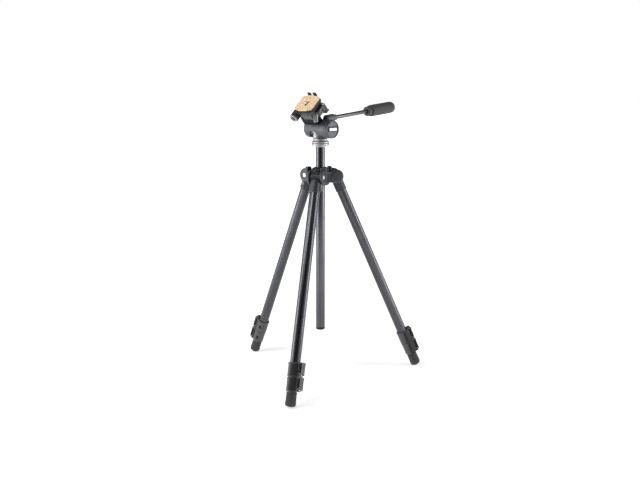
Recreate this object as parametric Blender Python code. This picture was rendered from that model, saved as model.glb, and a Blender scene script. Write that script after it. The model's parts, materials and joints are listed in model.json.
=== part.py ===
"""Photo tripod with a single-handle pan and tilt head.

The legs stand at their first angle stop with both extensions pushed in, the
centre column is partly raised and the head is tipped forward. The frame is
+Z up with the floor at z = 0. The head faces -Y, its tilt axis lies along X,
and the pan handle runs back along +Y.
"""

import math

import bmesh
import bpy
from mathutils import Matrix, Vector

MM = 0.001

# ---- driving dimensions (millimetres and degrees) ---------------------------
# where the column axis stands, so that the object's box is centred on the origin
COLUMN_X, COLUMN_Y = 60.93, -7.37

# legs
LEG_NAMES = ("front_leg", "right_leg", "left_leg")
LEG_AZIMUTH = (-62.5, 57.5, 177.5)
LEG_SPLAY = 23.85
PIVOT_RADIUS = 39.1
PIVOT_HEIGHT = 532.0
LEVER_AZIMUTH = (80.0, 0.0, 12.0)

UPPER_TUBE_OD, UPPER_TUBE_ID = 26.0, 23.5
MIDDLE_TUBE_OD, MIDDLE_TUBE_ID = 22.4, 20.0
LOWER_TUBE_OD, LOWER_TUBE_ID = 19.0, 16.6
TUBE_GAP = 0.35
UPPER_TUBE_TOP, UPPER_TUBE_END = -13.0, -487.0
MIDDLE_TUBE_TOP, MIDDLE_TUBE_END = -30.0, -522.0
LOWER_TUBE_TOP, LOWER_TUBE_END = -48.0, -557.0

DRUM_RADIUS = 10.5
DRUM_NEAR, DRUM_FAR = -15.0, 13.0
NEAR_EAR_RADIUS, FAR_EAR_RADIUS = 18.5, 18.0
SLEEVE_END = -43.0

UPPER_COLLAR_TOP, UPPER_COLLAR_END, UPPER_COLLAR_OD = -472.0, -506.5, 33.0
LOWER_COLLAR_TOP, LOWER_COLLAR_END, LOWER_COLLAR_OD = -507.5, -542.0, 31.0
LEVER_RADIUS = 20.7
UPPER_LEVER_Z, LOWER_LEVER_Z = -499.0, -534.8
LEVER_LENGTH, LEVER_WIDTH, LEVER_THICK = 28.0, 19.0, 7.0
FOOT_TOP = -543.0
FOOT_BALL = 13.0  # height of the foot's centre above the floor
FOOT_CORNER, FOOT_SIDE = 6.0, 13.4
FOOT_CENTRE = -(PIVOT_HEIGHT - FOOT_BALL) / math.cos(math.radians(LEG_SPLAY))

# spider and centre column
HUB_RADIUS, HUB_LOW, HUB_TOP = 22.5, 508.0, 543.0
RIM_RADIUS, RIM_LOW = 29.0, 539.5
BUSH_BORE, BUSH_OD, BUSH_RIM = 24.7, 30.0, 22.6
COLUMN_OD, COLUMN_ID = 24.0, 20.8
COLUMN_LOW, COLUMN_TOP = 128.5, 606.0
KNOB_AZIMUTH = LEG_AZIMUTH[0] + 180.0
KNOB_HEIGHT = 517.0

# head
DISC_LOW, DISC_TOP, DISC_OD = 609.9, 615.9, 45.5
PAN_LOW, PAN_TOP, PAN_OD = 616.3, 621.5, 44.0
NECK_OD, NECK_TOP = 35.5, 628.3
TILT_HEIGHT = 652.5
TILT_REST = 42.5
TILT_FORWARD, TILT_BACK = 80.0, -25.0
BARREL_RADIUS = 23.5
BARREL_LEFT, BARREL_RIGHT = -41.0, 33.0
CAVITY_RADIUS = 19.0
POST_X, POST_RADIUS, SLOT_RADIUS = -9.0, 13.0, 15.0
CAP_RIGHT = 44.5
PLATE_X = 9.5
PLATE_WIDTH, PLATE_DEPTH = 62.0, 45.0
BOW_FRONT, BOW_BACK = 4.5, 11.5
LUG_X = 4.0
TABLE_LOW, TABLE_TOP = 69.0, 80.0
TABLE_X, TABLE_WIDTH = 11.2, 52.4
PLATE_LOW, PLATE_TOP = 80.35, 86.8
CORK_LOW, CORK_TOP = 87.15, 89.2
SCREW_OD = 6.35
LEVER_X = 43.8
ROLL_X, ROLL_Z, ROLL_RADIUS = -29.0, 66.0, 11.6
HANDLE_X, HANDLE_OFFSET, HANDLE_DROP = 20.0, 25.9, 37.5
ROD_OD, GRIP_OD = 10.5, 31.0
HANDLE_END = 270.0

SEGS = 18


# ---- scene and materials ----------------------------------------------------
for thing in list(bpy.data.objects):
    bpy.data.objects.remove(thing, do_unlink=True)

SCENE = bpy.context.scene


def material(name, colour, roughness, metallic):
    mat = bpy.data.materials.new(name)
    mat.use_nodes = True
    shader = mat.node_tree.nodes["Principled BSDF"]
    shader.inputs["Base Color"].default_value = (*colour, 1.0)
    shader.inputs["Roughness"].default_value = roughness
    shader.inputs["Metallic"].default_value = metallic
    mat.diffuse_color = (*colour, 1.0)
    return mat


ANODISED = material("anodised_grey_tube", (0.16, 0.16, 0.17), 0.35, 0.9)
CAST_PAINT = material("hammered_grey_paint", (0.22, 0.22, 0.235), 0.55, 0.3)
LOCK_PLASTIC = material("dark_grey_plastic", (0.07, 0.07, 0.075), 0.5, 0.0)
BLACK_PLASTIC = material("black_plastic", (0.02, 0.02, 0.02), 0.45, 0.0)
RUBBER = material("black_rubber", (0.03, 0.03, 0.03), 0.85, 0.0)
BRIGHT_ALLOY = material("bright_alloy", (0.72, 0.72, 0.72), 0.3, 1.0)
STEEL = material("steel", (0.6, 0.6, 0.6), 0.3, 1.0)
CORK = material("cork", (0.8, 0.58, 0.36), 0.85, 0.0)
PALE_PLATE = material("pale_plate", (0.85, 0.85, 0.85), 0.4, 0.0)


# ---- shape helpers: every shape is built in millimetres about its own origin ---
def add_object(name, bm):
    bmesh.ops.recalc_face_normals(bm, faces=bm.faces)
    mesh = bpy.data.meshes.new(name)
    bm.to_mesh(mesh)
    bm.free()
    obj = bpy.data.objects.new(name, mesh)
    SCENE.collection.objects.link(obj)
    return obj


def axis_matrix(axis):
    """Turns the Z axis that a shape is built about onto X, Y or Z."""
    if axis == "X":
        return Matrix.Rotation(math.radians(90), 4, "Y")
    if axis == "Y":
        return Matrix.Rotation(math.radians(-90), 4, "X")
    return Matrix.Identity(4)


def turned(profile, axis="Z", at=(0, 0, 0), segs=SEGS):
    """A solid of revolution. The profile is a loop of (radius, height)."""
    bm = bmesh.new()
    rings = []
    for radius, height in profile:
        if radius < 1e-9:
            rings.append([bm.verts.new((0, 0, height))])
        else:
            rings.append(
                [
                    bm.verts.new(
                        (
                            radius * math.cos(2 * math.pi * i / segs),
                            radius * math.sin(2 * math.pi * i / segs),
                            height,
                        )
                    )
                    for i in range(segs)
                ]
            )
    for k, low in enumerate(rings):
        high = rings[(k + 1) % len(rings)]
        if len(low) == 1 and len(high) == 1:
            continue
        for i in range(segs):
            j = (i + 1) % segs
            if len(low) == 1:
                bm.faces.new((low[0], high[j], high[i]))
            elif len(high) == 1:
                bm.faces.new((low[i], low[j], high[0]))
            else:
                bm.faces.new((low[i], low[j], high[j], high[i]))
    place = Matrix.Translation(Vector(at)) @ axis_matrix(axis)
    bmesh.ops.transform(bm, matrix=place, verts=bm.verts)
    return add_object("shape", bm)


def rod(radius, low, high, axis="Z", at=(0, 0, 0), segs=SEGS, chamfer=0.0):
    c = chamfer
    if c:
        profile = [(0, low), (radius - c, low), (radius, low + c), (radius, high - c), (radius - c, high), (0, high)]
    else:
        profile = [(0, low), (radius, low), (radius, high), (0, high)]
    return turned(profile, axis, at, segs)


def block(x0, x1, y0, y1, z0, z1, bevel=0.0, steps=1, matrix=None):
    bm = bmesh.new()
    bmesh.ops.create_cube(bm, size=1.0)
    size = Matrix.Diagonal((x1 - x0, y1 - y0, z1 - z0, 1.0))
    centre = Matrix.Translation(((x0 + x1) / 2, (y0 + y1) / 2, (z0 + z1) / 2))
    bmesh.ops.transform(bm, matrix=centre @ size, verts=bm.verts)
    if bevel:
        bmesh.ops.bevel(
            bm, geom=bm.edges[:], offset=bevel, segments=steps, profile=0.5, affect="EDGES"
        )
    if matrix is not None:
        bmesh.ops.transform(bm, matrix=matrix, verts=bm.verts)
    return add_object("shape", bm)


def prism(outline, low, high, axis="Z", at=(0, 0, 0)):
    """A flat outline, a list of (x, y), carried from low to high."""
    bm = bmesh.new()
    bottom = [bm.verts.new((x, y, low)) for x, y in outline]
    top = [bm.verts.new((x, y, high)) for x, y in outline]
    bm.faces.new(bottom[::-1])
    bm.faces.new(top)
    for i in range(len(outline)):
        j = (i + 1) % len(outline)
        bm.faces.new((bottom[i], bottom[j], top[j], top[i]))
    place = Matrix.Translation(Vector(at)) @ axis_matrix(axis)
    bmesh.ops.transform(bm, matrix=place, verts=bm.verts)
    return add_object("shape", bm)


def bowed_outline(width, depth, back, front, corner, steps=3):
    """A rectangle with round corners whose front and back edges bow outwards."""
    points = []
    corners = (
        (width / 2 - corner, depth / 2 - corner, 0),
        (-width / 2 + corner, depth / 2 - corner, 90),
        (-width / 2 + corner, -depth / 2 + corner, 180),
        (width / 2 - corner, -depth / 2 + corner, 270),
    )
    for index, (cx, cy, start) in enumerate(corners):
        for k in range(steps + 1):
            a = math.radians(start + 90 * k / steps)
            points.append((cx + corner * math.cos(a), cy + corner * math.sin(a)))
        if index in (0, 2):
            sign, bulge = (1, back) if index == 0 else (-1, front)
            for k in range(1, 6):
                u = 1 - 2 * k / 6
                x = sign * u * (width / 2 - corner)
                points.append((x, sign * (depth / 2 + bulge * (1 - u * u))))
    return points


def slot_outline(length, width, at=(0, 0), steps=5):
    """A slot with round ends, long along Y."""
    points = []
    for sign, start in ((1, 0), (-1, 180)):
        for k in range(steps + 1):
            a = math.radians(start + 180 * k / steps)
            points.append(
                (
                    at[0] + width / 2 * math.cos(a),
                    at[1] + sign * (length - width) / 2 + width / 2 * math.sin(a),
                )
            )
    return points


def triangles(obj):
    """Flat corners only, so that a turned shape keeps exact planes."""
    bm = bmesh.new()
    bm.from_mesh(obj.data)
    bmesh.ops.triangulate(bm, faces=bm.faces[:])
    bm.to_mesh(obj.data)
    bm.free()


def merge_flats(obj):
    """Joins the coplanar faces that a Boolean leaves, as long as the shape stays closed."""
    bm = bmesh.new()
    bm.from_mesh(obj.data)
    bmesh.ops.dissolve_degenerate(bm, dist=1e-4, edges=bm.edges[:])
    bmesh.ops.dissolve_limit(
        bm, angle_limit=math.radians(0.3), use_dissolve_boundaries=False, verts=bm.verts[:], edges=bm.edges[:]
    )
    bmesh.ops.triangulate(bm, faces=bm.faces[:])
    closed = all(len(edge.link_faces) == 2 for edge in bm.edges)
    if closed:
        bm.to_mesh(obj.data)
    bm.free()


def is_closed(mesh):
    bm = bmesh.new()
    bm.from_mesh(mesh)
    closed = all(len(edge.link_faces) == 2 for edge in bm.edges)
    bm.free()
    return closed


def combine(target, others, operation):
    """Joins shapes to the target, or takes them from it."""
    triangles(target)
    for other in others:
        triangles(other)
        # the exact solver first; the manifold one where it leaves an open edge
        for solver in ("EXACT", "MANIFOLD"):
            modifier = target.modifiers.new("step", "BOOLEAN")
            modifier.operation = operation
            modifier.solver = solver
            modifier.object = other
            bpy.context.view_layer.update()
            graph = bpy.context.evaluated_depsgraph_get()
            mesh = bpy.data.meshes.new_from_object(target.evaluated_get(graph))
            target.modifiers.clear()
            if is_closed(mesh):
                break
        target.data = mesh
        triangles(target)
        merge_flats(target)
        bpy.data.objects.remove(other, do_unlink=True)
    return target


def join(target, *others):
    return combine(target, others, "UNION")


def cut(target, *others):
    return combine(target, others, "DIFFERENCE")


def frame(name, parent, matrix):
    """An empty that carries the pieces of one moving body. Its matrix is in millimetres."""
    empty = bpy.data.objects.new(name, None)
    empty.empty_display_size = 0.02
    SCENE.collection.objects.link(empty)
    empty.parent = parent
    local = matrix.copy()
    local.translation = matrix.translation * MM
    empty.matrix_local = local
    return empty


def piece(name, shape, parent, mat, at=(0, 0, 0), turn=None, sharp=35.0):
    """Names a finished shape and sets it on its frame."""
    shape.name = name
    mesh = shape.data
    mesh.name = name
    mesh.transform(Matrix.Scale(MM, 4))
    mesh.materials.clear()
    mesh.materials.append(mat)
    mesh.shade_smooth()
    mesh.set_sharp_from_angle(angle=math.radians(sharp))
    shape.parent = parent
    shape.location = Vector(at) * MM
    if turn is not None:
        shape.rotation_euler = turn.to_euler()
    return shape


# ---- the frames -------------------------------------------------------------
ASSEMBLY = frame("assembly", None, Matrix.Translation((COLUMN_X, COLUMN_Y, 0)))
PAN = frame("pan_frame", ASSEMBLY, Matrix.Translation((0, 0, TILT_HEIGHT)))
TILT = frame("tilt_frame", PAN, Matrix.Rotation(math.radians(TILT_REST), 4, "X"))
ROLL = frame("roll_frame", TILT, Matrix.Translation((ROLL_X, 0, ROLL_Z)))

LEGS = []
for leg_name, azimuth in zip(LEG_NAMES, LEG_AZIMUTH):
    out = Matrix.Rotation(math.radians(azimuth), 4, "Z")
    splay = Matrix.Rotation(math.radians(-LEG_SPLAY), 4, "Y")
    LEGS.append(
        frame(
            leg_name + "_frame",
            ASSEMBLY,
            out @ Matrix.Translation((PIVOT_RADIUS, 0, PIVOT_HEIGHT)) @ splay,
        )
    )


# ---- legs -------------------------------------------------------------------
def tube(outer, inner, low, high):
    return turned(
        [(inner / 2, low), (outer / 2, low), (outer / 2, high), (inner / 2, high)]
    )


def leg_top():
    """The cast shoulder: a drum across the leg, with a sleeve that holds the upper tube."""
    drum = rod(DRUM_RADIUS, DRUM_NEAR, DRUM_FAR, "Y", segs=24, chamfer=0.8)
    sleeve = turned(
        [
            (0, SLEEVE_END),
            (13.9, SLEEVE_END),
            (14.3, SLEEVE_END + 0.8),
            (14.3, -12.5),
            (12.8, -8.0),
            (9.5, -5.0),
            (0, -4.0),
        ],
        segs=24,
    )
    body = join(drum, sleeve)
    bore = rod(UPPER_TUBE_OD / 2 + TUBE_GAP, SLEEVE_END - 2, -12.6, segs=18)
    pin = rod(3.4, -30, 30, "Y", segs=12)
    ear_room = block(-30, 30, DRUM_FAR + 0.1, 40, -19.0, 30)
    return cut(body, bore, pin, ear_room)


def lock_collar(top, end, outer, upper_bore, lower_bore, step, hinge_z):
    """A lever lock's body: a stepped ring with two ears that hold the lever's trunnions."""
    c = 1.4
    ring = turned(
        [
            (lower_bore / 2, end),
            (outer / 2 - c, end),
            (outer / 2, end + c),
            (outer / 2, top - c),
            (outer / 2 - c, top),
            (upper_bore / 2, top),
            (upper_bore / 2, step),
            (lower_bore / 2, step),
        ]
    )
    half = LEVER_WIDTH / 2 + 0.45
    for side in (-1, 1):
        ear = block(8.5, LEVER_RADIUS + 3.7, min(side * half, side * (half + 2.8)), max(side * half, side * (half + 2.8)), hinge_z - 4.6, hinge_z + 4.6)
        ring = join(ring, ear)
    keep = rod(lower_bore / 2, end - 1, top + 1)
    upper = rod(upper_bore / 2, step, top + 1)
    hole = rod(2.3, -20, 20, "Y", at=(LEVER_RADIUS, 0, hinge_z), segs=10)
    return cut(ring, keep, upper, hole)


def lock_lever():
    """The lever, about its hinge line: a round heel with trunnions and a slightly flared tip."""
    t, w, n = LEVER_THICK / 2, LEVER_WIDTH / 2, LEVER_LENGTH
    outline = [(-t, 0), (t, 0), (t, n * 0.55), (t + 0.9, n * 0.85), (t + 0.6, n - 1.2), (t - 0.8, n), (-t + 1.2, n), (-t, n - 1.4)]
    bm = bmesh.new()
    left = [bm.verts.new((x, -w, z)) for x, z in outline]
    right = [bm.verts.new((x, w, z)) for x, z in outline]
    bm.faces.new(left[::-1])
    bm.faces.new(right)
    for i in range(len(outline)):
        j = (i + 1) % len(outline)
        bm.faces.new((left[i], left[j], right[j], right[i]))
    arm = add_object("shape", bm)
    heel = rod(3.6, -w + 0.05, w - 0.05, "Y", segs=12)
    trunnions = rod(1.95, -w - 2.6, w + 2.6, "Y", segs=8)
    return join(arm, heel, trunnions)


def angle_stop():
    """The sprung tab that sets the leg's angle stop: a flat bar with a thumb lug."""
    bar = block(-5, 5, 14.9, 17.8, -35.5, -19.4, 0.5)
    lug = block(-3.5, 3.5, 16.8, 24.5, -35.3, -30.8, 0.8)
    return join(bar, lug)


def rubber_foot():
    ball, centre = FOOT_BALL, FOOT_CENTRE
    bore = LOWER_TUBE_OD / 2 + TUBE_GAP
    profile = [(bore, FOOT_TOP), (bore, LOWER_TUBE_END - 0.5), (0, LOWER_TUBE_END - 0.5)]
    corner, side = FOOT_CORNER, FOOT_SIDE
    splay = math.radians(LEG_SPLAY)
    base = (ball - corner - (side - corner) * math.sin(splay)) / math.cos(splay) + corner
    dome = [(0, centre - base - 0.8), (3.6, centre - base - 0.5)] + [
        (
            side - corner + corner * math.sin(math.radians(a)),
            centre - base + corner - corner * math.cos(math.radians(a)),
        )
        for a in (0, 24, 48, 70, 90)
    ]
    profile += dome
    profile += [(side, centre + 3.0), (side, FOOT_TOP - 1.6), (side - 1.0, FOOT_TOP)]
    return turned(profile)


def pivot_bolt():
    """The leg's hinge bolt, with a broad domed head."""
    profile = [
        (0, -19.4),
        (2.6, -19.4),
        (3.0, -18.8),
        (3.0, 18.8),
        (6.0, 18.8),
        (6.0, 20.4),
        (5.0, 21.4),
        (3.0, 21.8),
        (0, 21.9),
    ]
    return turned(profile, "Y", segs=16)


for index, (leg_name, leg) in enumerate(zip(LEG_NAMES, LEGS)):
    lever_turn = Matrix.Rotation(math.radians(LEVER_AZIMUTH[index]), 4, "Z")
    piece(leg_name + "_shoulder", leg_top(), leg, CAST_PAINT)
    piece(leg_name + "_pivot_bolt", pivot_bolt(), leg, STEEL)
    piece(leg_name + "_angle_stop", angle_stop(), leg, BRIGHT_ALLOY)
    piece(leg_name + "_upper_tube", tube(UPPER_TUBE_OD, UPPER_TUBE_ID, UPPER_TUBE_END, UPPER_TUBE_TOP), leg, ANODISED)
    piece(leg_name + "_middle_tube", tube(MIDDLE_TUBE_OD, MIDDLE_TUBE_ID, MIDDLE_TUBE_END, MIDDLE_TUBE_TOP), leg, ANODISED)
    piece(leg_name + "_lower_tube", tube(LOWER_TUBE_OD, LOWER_TUBE_ID, LOWER_TUBE_END, LOWER_TUBE_TOP), leg, ANODISED)
    piece(
        leg_name + "_upper_lock",
        lock_collar(
            UPPER_COLLAR_TOP, UPPER_COLLAR_END, UPPER_COLLAR_OD,
            UPPER_TUBE_OD + 2 * TUBE_GAP, MIDDLE_TUBE_OD + 2 * TUBE_GAP,
            UPPER_TUBE_END - 0.5, UPPER_LEVER_Z,
        ),
        leg, LOCK_PLASTIC, turn=lever_turn,
    )
    piece(
        leg_name + "_lower_lock",
        lock_collar(
            LOWER_COLLAR_TOP, LOWER_COLLAR_END, LOWER_COLLAR_OD,
            MIDDLE_TUBE_OD + 2 * TUBE_GAP, LOWER_TUBE_OD + 2 * TUBE_GAP,
            MIDDLE_TUBE_END - 0.5, LOWER_LEVER_Z,
        ),
        leg, LOCK_PLASTIC, turn=lever_turn,
    )
    for label, height in (("_upper_lever", UPPER_LEVER_Z), ("_lower_lever", LOWER_LEVER_Z)):
        hinge = lever_turn @ Vector((LEVER_RADIUS, 0, height))
        piece(leg_name + label, lock_lever(), leg, BLACK_PLASTIC, at=hinge, turn=lever_turn)
    piece(leg_name + "_rubber_foot", rubber_foot(), leg, RUBBER)


# ---- spider and centre column -----------------------------------------------
def spider():
    """The casting that carries the legs: a hub, and for each leg a lug, a round ear and a boss."""
    body = turned(
        [
            (0, HUB_LOW),
            (HUB_RADIUS - 2, HUB_LOW),
            (HUB_RADIUS, HUB_LOW + 3),
            (HUB_RADIUS, RIM_LOW - 2.5),
            (RIM_RADIUS, RIM_LOW),
            (RIM_RADIUS, HUB_TOP - 1),
            (RIM_RADIUS - 1, HUB_TOP),
            (0, HUB_TOP),
        ],
        segs=32,
    )
    for azimuth in LEG_AZIMUTH:
        out = Matrix.Rotation(math.radians(azimuth), 4, "Z")
        shapes = [
            block(8, PIVOT_RADIUS, 13.9, 20.1, PIVOT_HEIGHT - 12, PIVOT_HEIGHT + 9),
            rod(FAR_EAR_RADIUS, 13.5, 20.6, "Y", at=(PIVOT_RADIUS, 0, PIVOT_HEIGHT), segs=28, chamfer=1.6),
            block(6, PIVOT_RADIUS - 3, -20.2, -16.1, PIVOT_HEIGHT - 17, PIVOT_HEIGHT + 10),
            turned(
                [
                    (0, -21.6),
                    (12.0, -21.2),
                    (16.6, -20.0),
                    (NEAR_EAR_RADIUS, -17.6),
                    (NEAR_EAR_RADIUS, -15.5),
                    (0, -15.5),
                ],
                "Y", at=(PIVOT_RADIUS, 0, PIVOT_HEIGHT - 1.5), segs=28,
            ),
            block(24, 33.2, 14.3, 23.3, 535, 546),
            block(23.4, 33.6, 8.0, 24.0, 541.8, 555.0, 1.8),
        ]
        cutters = [
            rod(3.4, -20.0, 30, "Y", at=(PIVOT_RADIUS, 0, PIVOT_HEIGHT), segs=12),
            rod(6.5, 18.4, 31, "Y", at=(PIVOT_RADIUS, 0, PIVOT_HEIGHT), segs=20),
            rod(2.8, 29.0, 40, "X", at=(0, 14.5, 548.4), segs=10),
        ]
        for shape in shapes + cutters:
            shape.data.transform(out)
        body = join(body, *shapes)
        body = cut(body, *cutters)
    out = Matrix.Rotation(math.radians(KNOB_AZIMUTH), 4, "Z")
    boss = rod(9.5, 15, 33.6, "X", at=(0, 0, KNOB_HEIGHT), segs=16)
    hole = rod(4.5, 10, 40, "X", at=(0, 0, KNOB_HEIGHT), segs=12)
    for shape in (boss, hole):
        shape.data.transform(out)
    body = join(body, boss)
    bore = rod(BUSH_OD / 2 + 0.35, 400, 600, segs=24)
    dome_room = rod(BUSH_RIM + 0.6, HUB_TOP + 0.02, 590, segs=24)
    return cut(body, hole, bore, dome_room)


def column_bushing():
    low = HUB_LOW + 0.5
    profile = [
        (BUSH_BORE / 2, low),
        (BUSH_OD / 2, low),
        (BUSH_OD / 2, HUB_TOP + 0.35),
        (BUSH_RIM, HUB_TOP + 0.35),
        (BUSH_RIM, HUB_TOP + 3.0),
        (BUSH_RIM - 1.2, HUB_TOP + 6.5),
        (BUSH_RIM - 5.0, HUB_TOP + 10.6),
        (BUSH_BORE / 2 + 0.4, HUB_TOP + 12.4),
        (BUSH_BORE / 2, HUB_TOP + 12.0),
    ]
    return turned(profile, segs=24)


def lock_knob():
    """The column's lock screw with its lobed knob, about its own axis along X."""
    bm = bmesh.new()
    count, lobes = 36, 6
    rings = []
    for x, scale in ((0.0, 0.93), (1.2, 1.0), (13.0, 1.0), (15.0, 0.9)):
        ring = []
        for i in range(count):
            a = 2 * math.pi * i / count
            r = (13.2 + 1.5 * math.cos(lobes * a)) * scale
            ring.append(bm.verts.new((34.5 + x, r * math.cos(a), r * math.sin(a))))
        rings.append(ring)
    for low, high in zip(rings, rings[1:]):
        for i in range(count):
            j = (i + 1) % count
            bm.faces.new((low[i], low[j], high[j], high[i]))
    bm.faces.new(rings[0][::-1])
    bm.faces.new(rings[-1])
    knob = add_object("shape", bm)
    return join(knob, rod(4.0, 15.6, 37.0, "X", segs=12))


piece("spider", spider(), ASSEMBLY, CAST_PAINT)
piece("column_bushing", column_bushing(), ASSEMBLY, BLACK_PLASTIC)
piece(
    "column_lock_knob", lock_knob(), ASSEMBLY, BLACK_PLASTIC,
    at=(0, 0, KNOB_HEIGHT), turn=Matrix.Rotation(math.radians(KNOB_AZIMUTH), 4, "Z"),
)
piece("center_column", tube(COLUMN_OD, COLUMN_ID, COLUMN_LOW, COLUMN_TOP), ASSEMBLY, ANODISED)
piece(
    "column_end_cap",
    turned([
        (0, 121.5), (9.0, 121.5), (11.2, 122.6), (12.0, 124.6), (12.0, COLUMN_LOW - 0.3),
        (10.0, COLUMN_LOW - 0.3), (10.0, 143.0), (0, 143.0),
    ]),
    ASSEMBLY, BLACK_PLASTIC,
)
piece(
    "column_top_disc",
    turned([
        (0, 582.0), (10.0, 582.0), (10.0, COLUMN_TOP + 0.3), (13.4, COLUMN_TOP + 0.3),
        (13.4, DISC_LOW), (DISC_OD / 2 - 0.8, DISC_LOW), (DISC_OD / 2, DISC_LOW + 0.8),
        (DISC_OD / 2, DISC_TOP - 0.6), (DISC_OD / 2 - 0.6, DISC_TOP), (5.1, DISC_TOP),
        (5.1, 590.0), (0, 590.0),
    ], segs=28),
    ASSEMBLY, BRIGHT_ALLOY,
)
piece("head_stud", rod(4.76, 591.0, 626.5, segs=14, chamfer=0.6), ASSEMBLY, STEEL)


# ---- head: the pan base and what stays with it --------------------------------
def pan_base():
    """The bright neck: a disc, a round neck, and a post that carries the tilt hub."""
    z = -TILT_HEIGHT
    neck = turned(
        [
            (0, PAN_LOW + z),
            (PAN_OD / 2 - 0.6, PAN_LOW + z),
            (PAN_OD / 2, PAN_LOW + 0.6 + z),
            (PAN_OD / 2, PAN_TOP - 1.0 + z),
            (PAN_OD / 2 - 1.4, PAN_TOP + z),
            (NECK_OD / 2 + 0.9, PAN_TOP + 0.4 + z),
            (NECK_OD / 2, PAN_TOP + 1.6 + z),
            (NECK_OD / 2, NECK_TOP - 1.2 + z),
            (NECK_OD / 2 - 1.2, NECK_TOP + z),
            (0, NECK_TOP + z),
        ],
        segs=28,
    )
    post = rod(POST_RADIUS, PAN_TOP + 2 + z, -2.0, at=(POST_X, 0, 0), segs=24)
    hub = rod(16.0, POST_X - 13.1, POST_X + 13.1, "X", segs=24)
    body = join(neck, post, hub)
    axle = rod(5.3, -60, 60, "X", segs=14)
    stud = rod(5.1, PAN_LOW - 5 + z, 627.0 + z, segs=14)
    return cut(body, axle, stud)


def end_cap():
    """The barrel's right end, fixed to the axle, with a channel across its face."""
    x0 = BARREL_RIGHT + 0.4
    cap = turned(
        [
            (5.2, 25.0),
            (CAVITY_RADIUS - 0.5, 25.0),
            (CAVITY_RADIUS - 0.5, x0),
            (BARREL_RADIUS - 0.5, x0),
            (BARREL_RADIUS, x0 + 0.6),
            (BARREL_RADIUS, 38.6),
            (BARREL_RADIUS - 1.0, 38.9),
            (BARREL_RADIUS - 1.0, 39.9),
            (BARREL_RADIUS - 0.3, 40.3),
            (BARREL_RADIUS - 0.3, CAP_RIGHT - 1.8),
            (BARREL_RADIUS - 2.1, CAP_RIGHT),
            (0, CAP_RIGHT),
            (0, 37.0),
            (5.2, 37.0),
        ],
        "X",
        segs=32,
    )
    channel = block(CAP_RIGHT - 2.6, CAP_RIGHT + 5, -19.5, 19.5, -5.0, 5.0, 0.5)
    return cut(cap, channel)


piece("pan_base", pan_base(), PAN, BRIGHT_ALLOY)
piece("tilt_axle", rod(5.0, -37.4, 36.5, "X", segs=14, chamfer=0.5), PAN, STEEL)
piece("barrel_end_cap", end_cap(), PAN, CAST_PAINT)
piece(
    "badge_plate",
    block(CAP_RIGHT - 2.2, CAP_RIGHT - 1.2, -12.0, 15.0, -3.7, 3.7, 0.25),
    PAN, PALE_PLATE,
)


# ---- head: the tilting barrel -------------------------------------------------
HANDLE_TURN = Matrix.Rotation(math.radians(-HANDLE_DROP), 4, "X")
HANDLE_POINT = HANDLE_TURN @ Vector((0, 0, HANDLE_OFFSET))
HANDLE_MATRIX = Matrix.Translation((HANDLE_X, HANDLE_POINT.y, HANDLE_POINT.z)) @ HANDLE_TURN


def neck_slot():
    """What the post sweeps through the barrel's wall as the head tilts: a slot with round ends."""
    reach = 60.0
    start, stop = TILT_BACK, TILT_FORWARD
    steps = 10
    fan = [(0.0, 0.0)]
    for k in range(steps + 1):
        a = math.radians(start + (stop - start) * k / steps)
        fan.append((-reach * math.sin(a), -reach * math.cos(a)))
    bm = bmesh.new()
    near = [bm.verts.new((POST_X - SLOT_RADIUS, y, z)) for y, z in fan]
    away = [bm.verts.new((POST_X + SLOT_RADIUS, y, z)) for y, z in fan]
    bm.faces.new(near)
    bm.faces.new(away[::-1])
    for i in range(len(fan)):
        j = (i + 1) % len(fan)
        bm.faces.new((near[i], near[j], away[j], away[i]))
    shapes = [add_object("shape", bm)]
    for angle in (start, stop):
        end = rod(SLOT_RADIUS - 0.02, -reach + 1, 0, at=(POST_X, 0, 0), segs=28)
        end.data.transform(Matrix.Rotation(math.radians(-angle), 4, "X"))
        shapes.append(end)
    return shapes


def tilt_barrel():
    r = BARREL_RADIUS
    left, right = BARREL_LEFT, BARREL_RIGHT
    body = turned(
        [
            (0, left),
            (r - 6.0, left),
            (r - 2.9, left + 0.9),
            (r - 0.9, left + 2.9),
            (r, left + 6.0),
            (r, right - 0.8),
            (r - 0.8, right),
            (0, right),
        ],
        "X",
        segs=40,
    )
    waist = block(-36.5, 13, -9, 12, 14, 42)
    saddle = block(-15.5, 19, -17, 17, 38, 68.3, 2.0)
    arm = block(-36.0, 0, -7.6, 16.6, 40.4, 66.0)
    hub = rod(ROLL_RADIUS, -7.9, 16.8, "Y", at=(ROLL_X, 0, ROLL_Z), segs=24)
    stem = rod(10.0, 0, 28.0, "Y", segs=24, chamfer=1.0)
    web = block(-8.0, 8.0, -3, 25.5, -21, 0)
    stem.data.transform(HANDLE_MATRIX)
    web.data.transform(HANDLE_MATRIX)
    body = join(body, waist, saddle, arm, hub, web, stem)
    cavity = rod(CAVITY_RADIUS, -34, right + 5, "X", segs=28)
    axle = rod(5.3, -38, 0, "X", segs=14)
    thread = rod(4.5, 4.0, 40, "Y", segs=12)
    thread.data.transform(HANDLE_MATRIX)
    roll = rod(4.4, -30, 30, "Y", at=(ROLL_X, 0, ROLL_Z), segs=12)
    pinch = rod(3.4, 8.0, 40, "X", at=(0, -5.2, 64.0), segs=10)
    return cut(body, cavity, axle, *neck_slot(), thread, roll, pinch)


piece("tilt_barrel", tilt_barrel(), TILT, CAST_PAINT)


def roll_axle():
    """The side-tilt pin with its broad bright face."""
    profile = [
        (0, 16.5),
        (3.6, 16.5),
        (4.0, 16.0),
        (4.0, -30.8),
        (10.4, -30.8),
        (10.4, -32.5),
        (9.4, -33.4),
        (6.6, -33.4),
        (6.0, -32.1),
        (0, -32.1),
    ]
    return turned(profile[::-1], "Y", segs=24)


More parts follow.
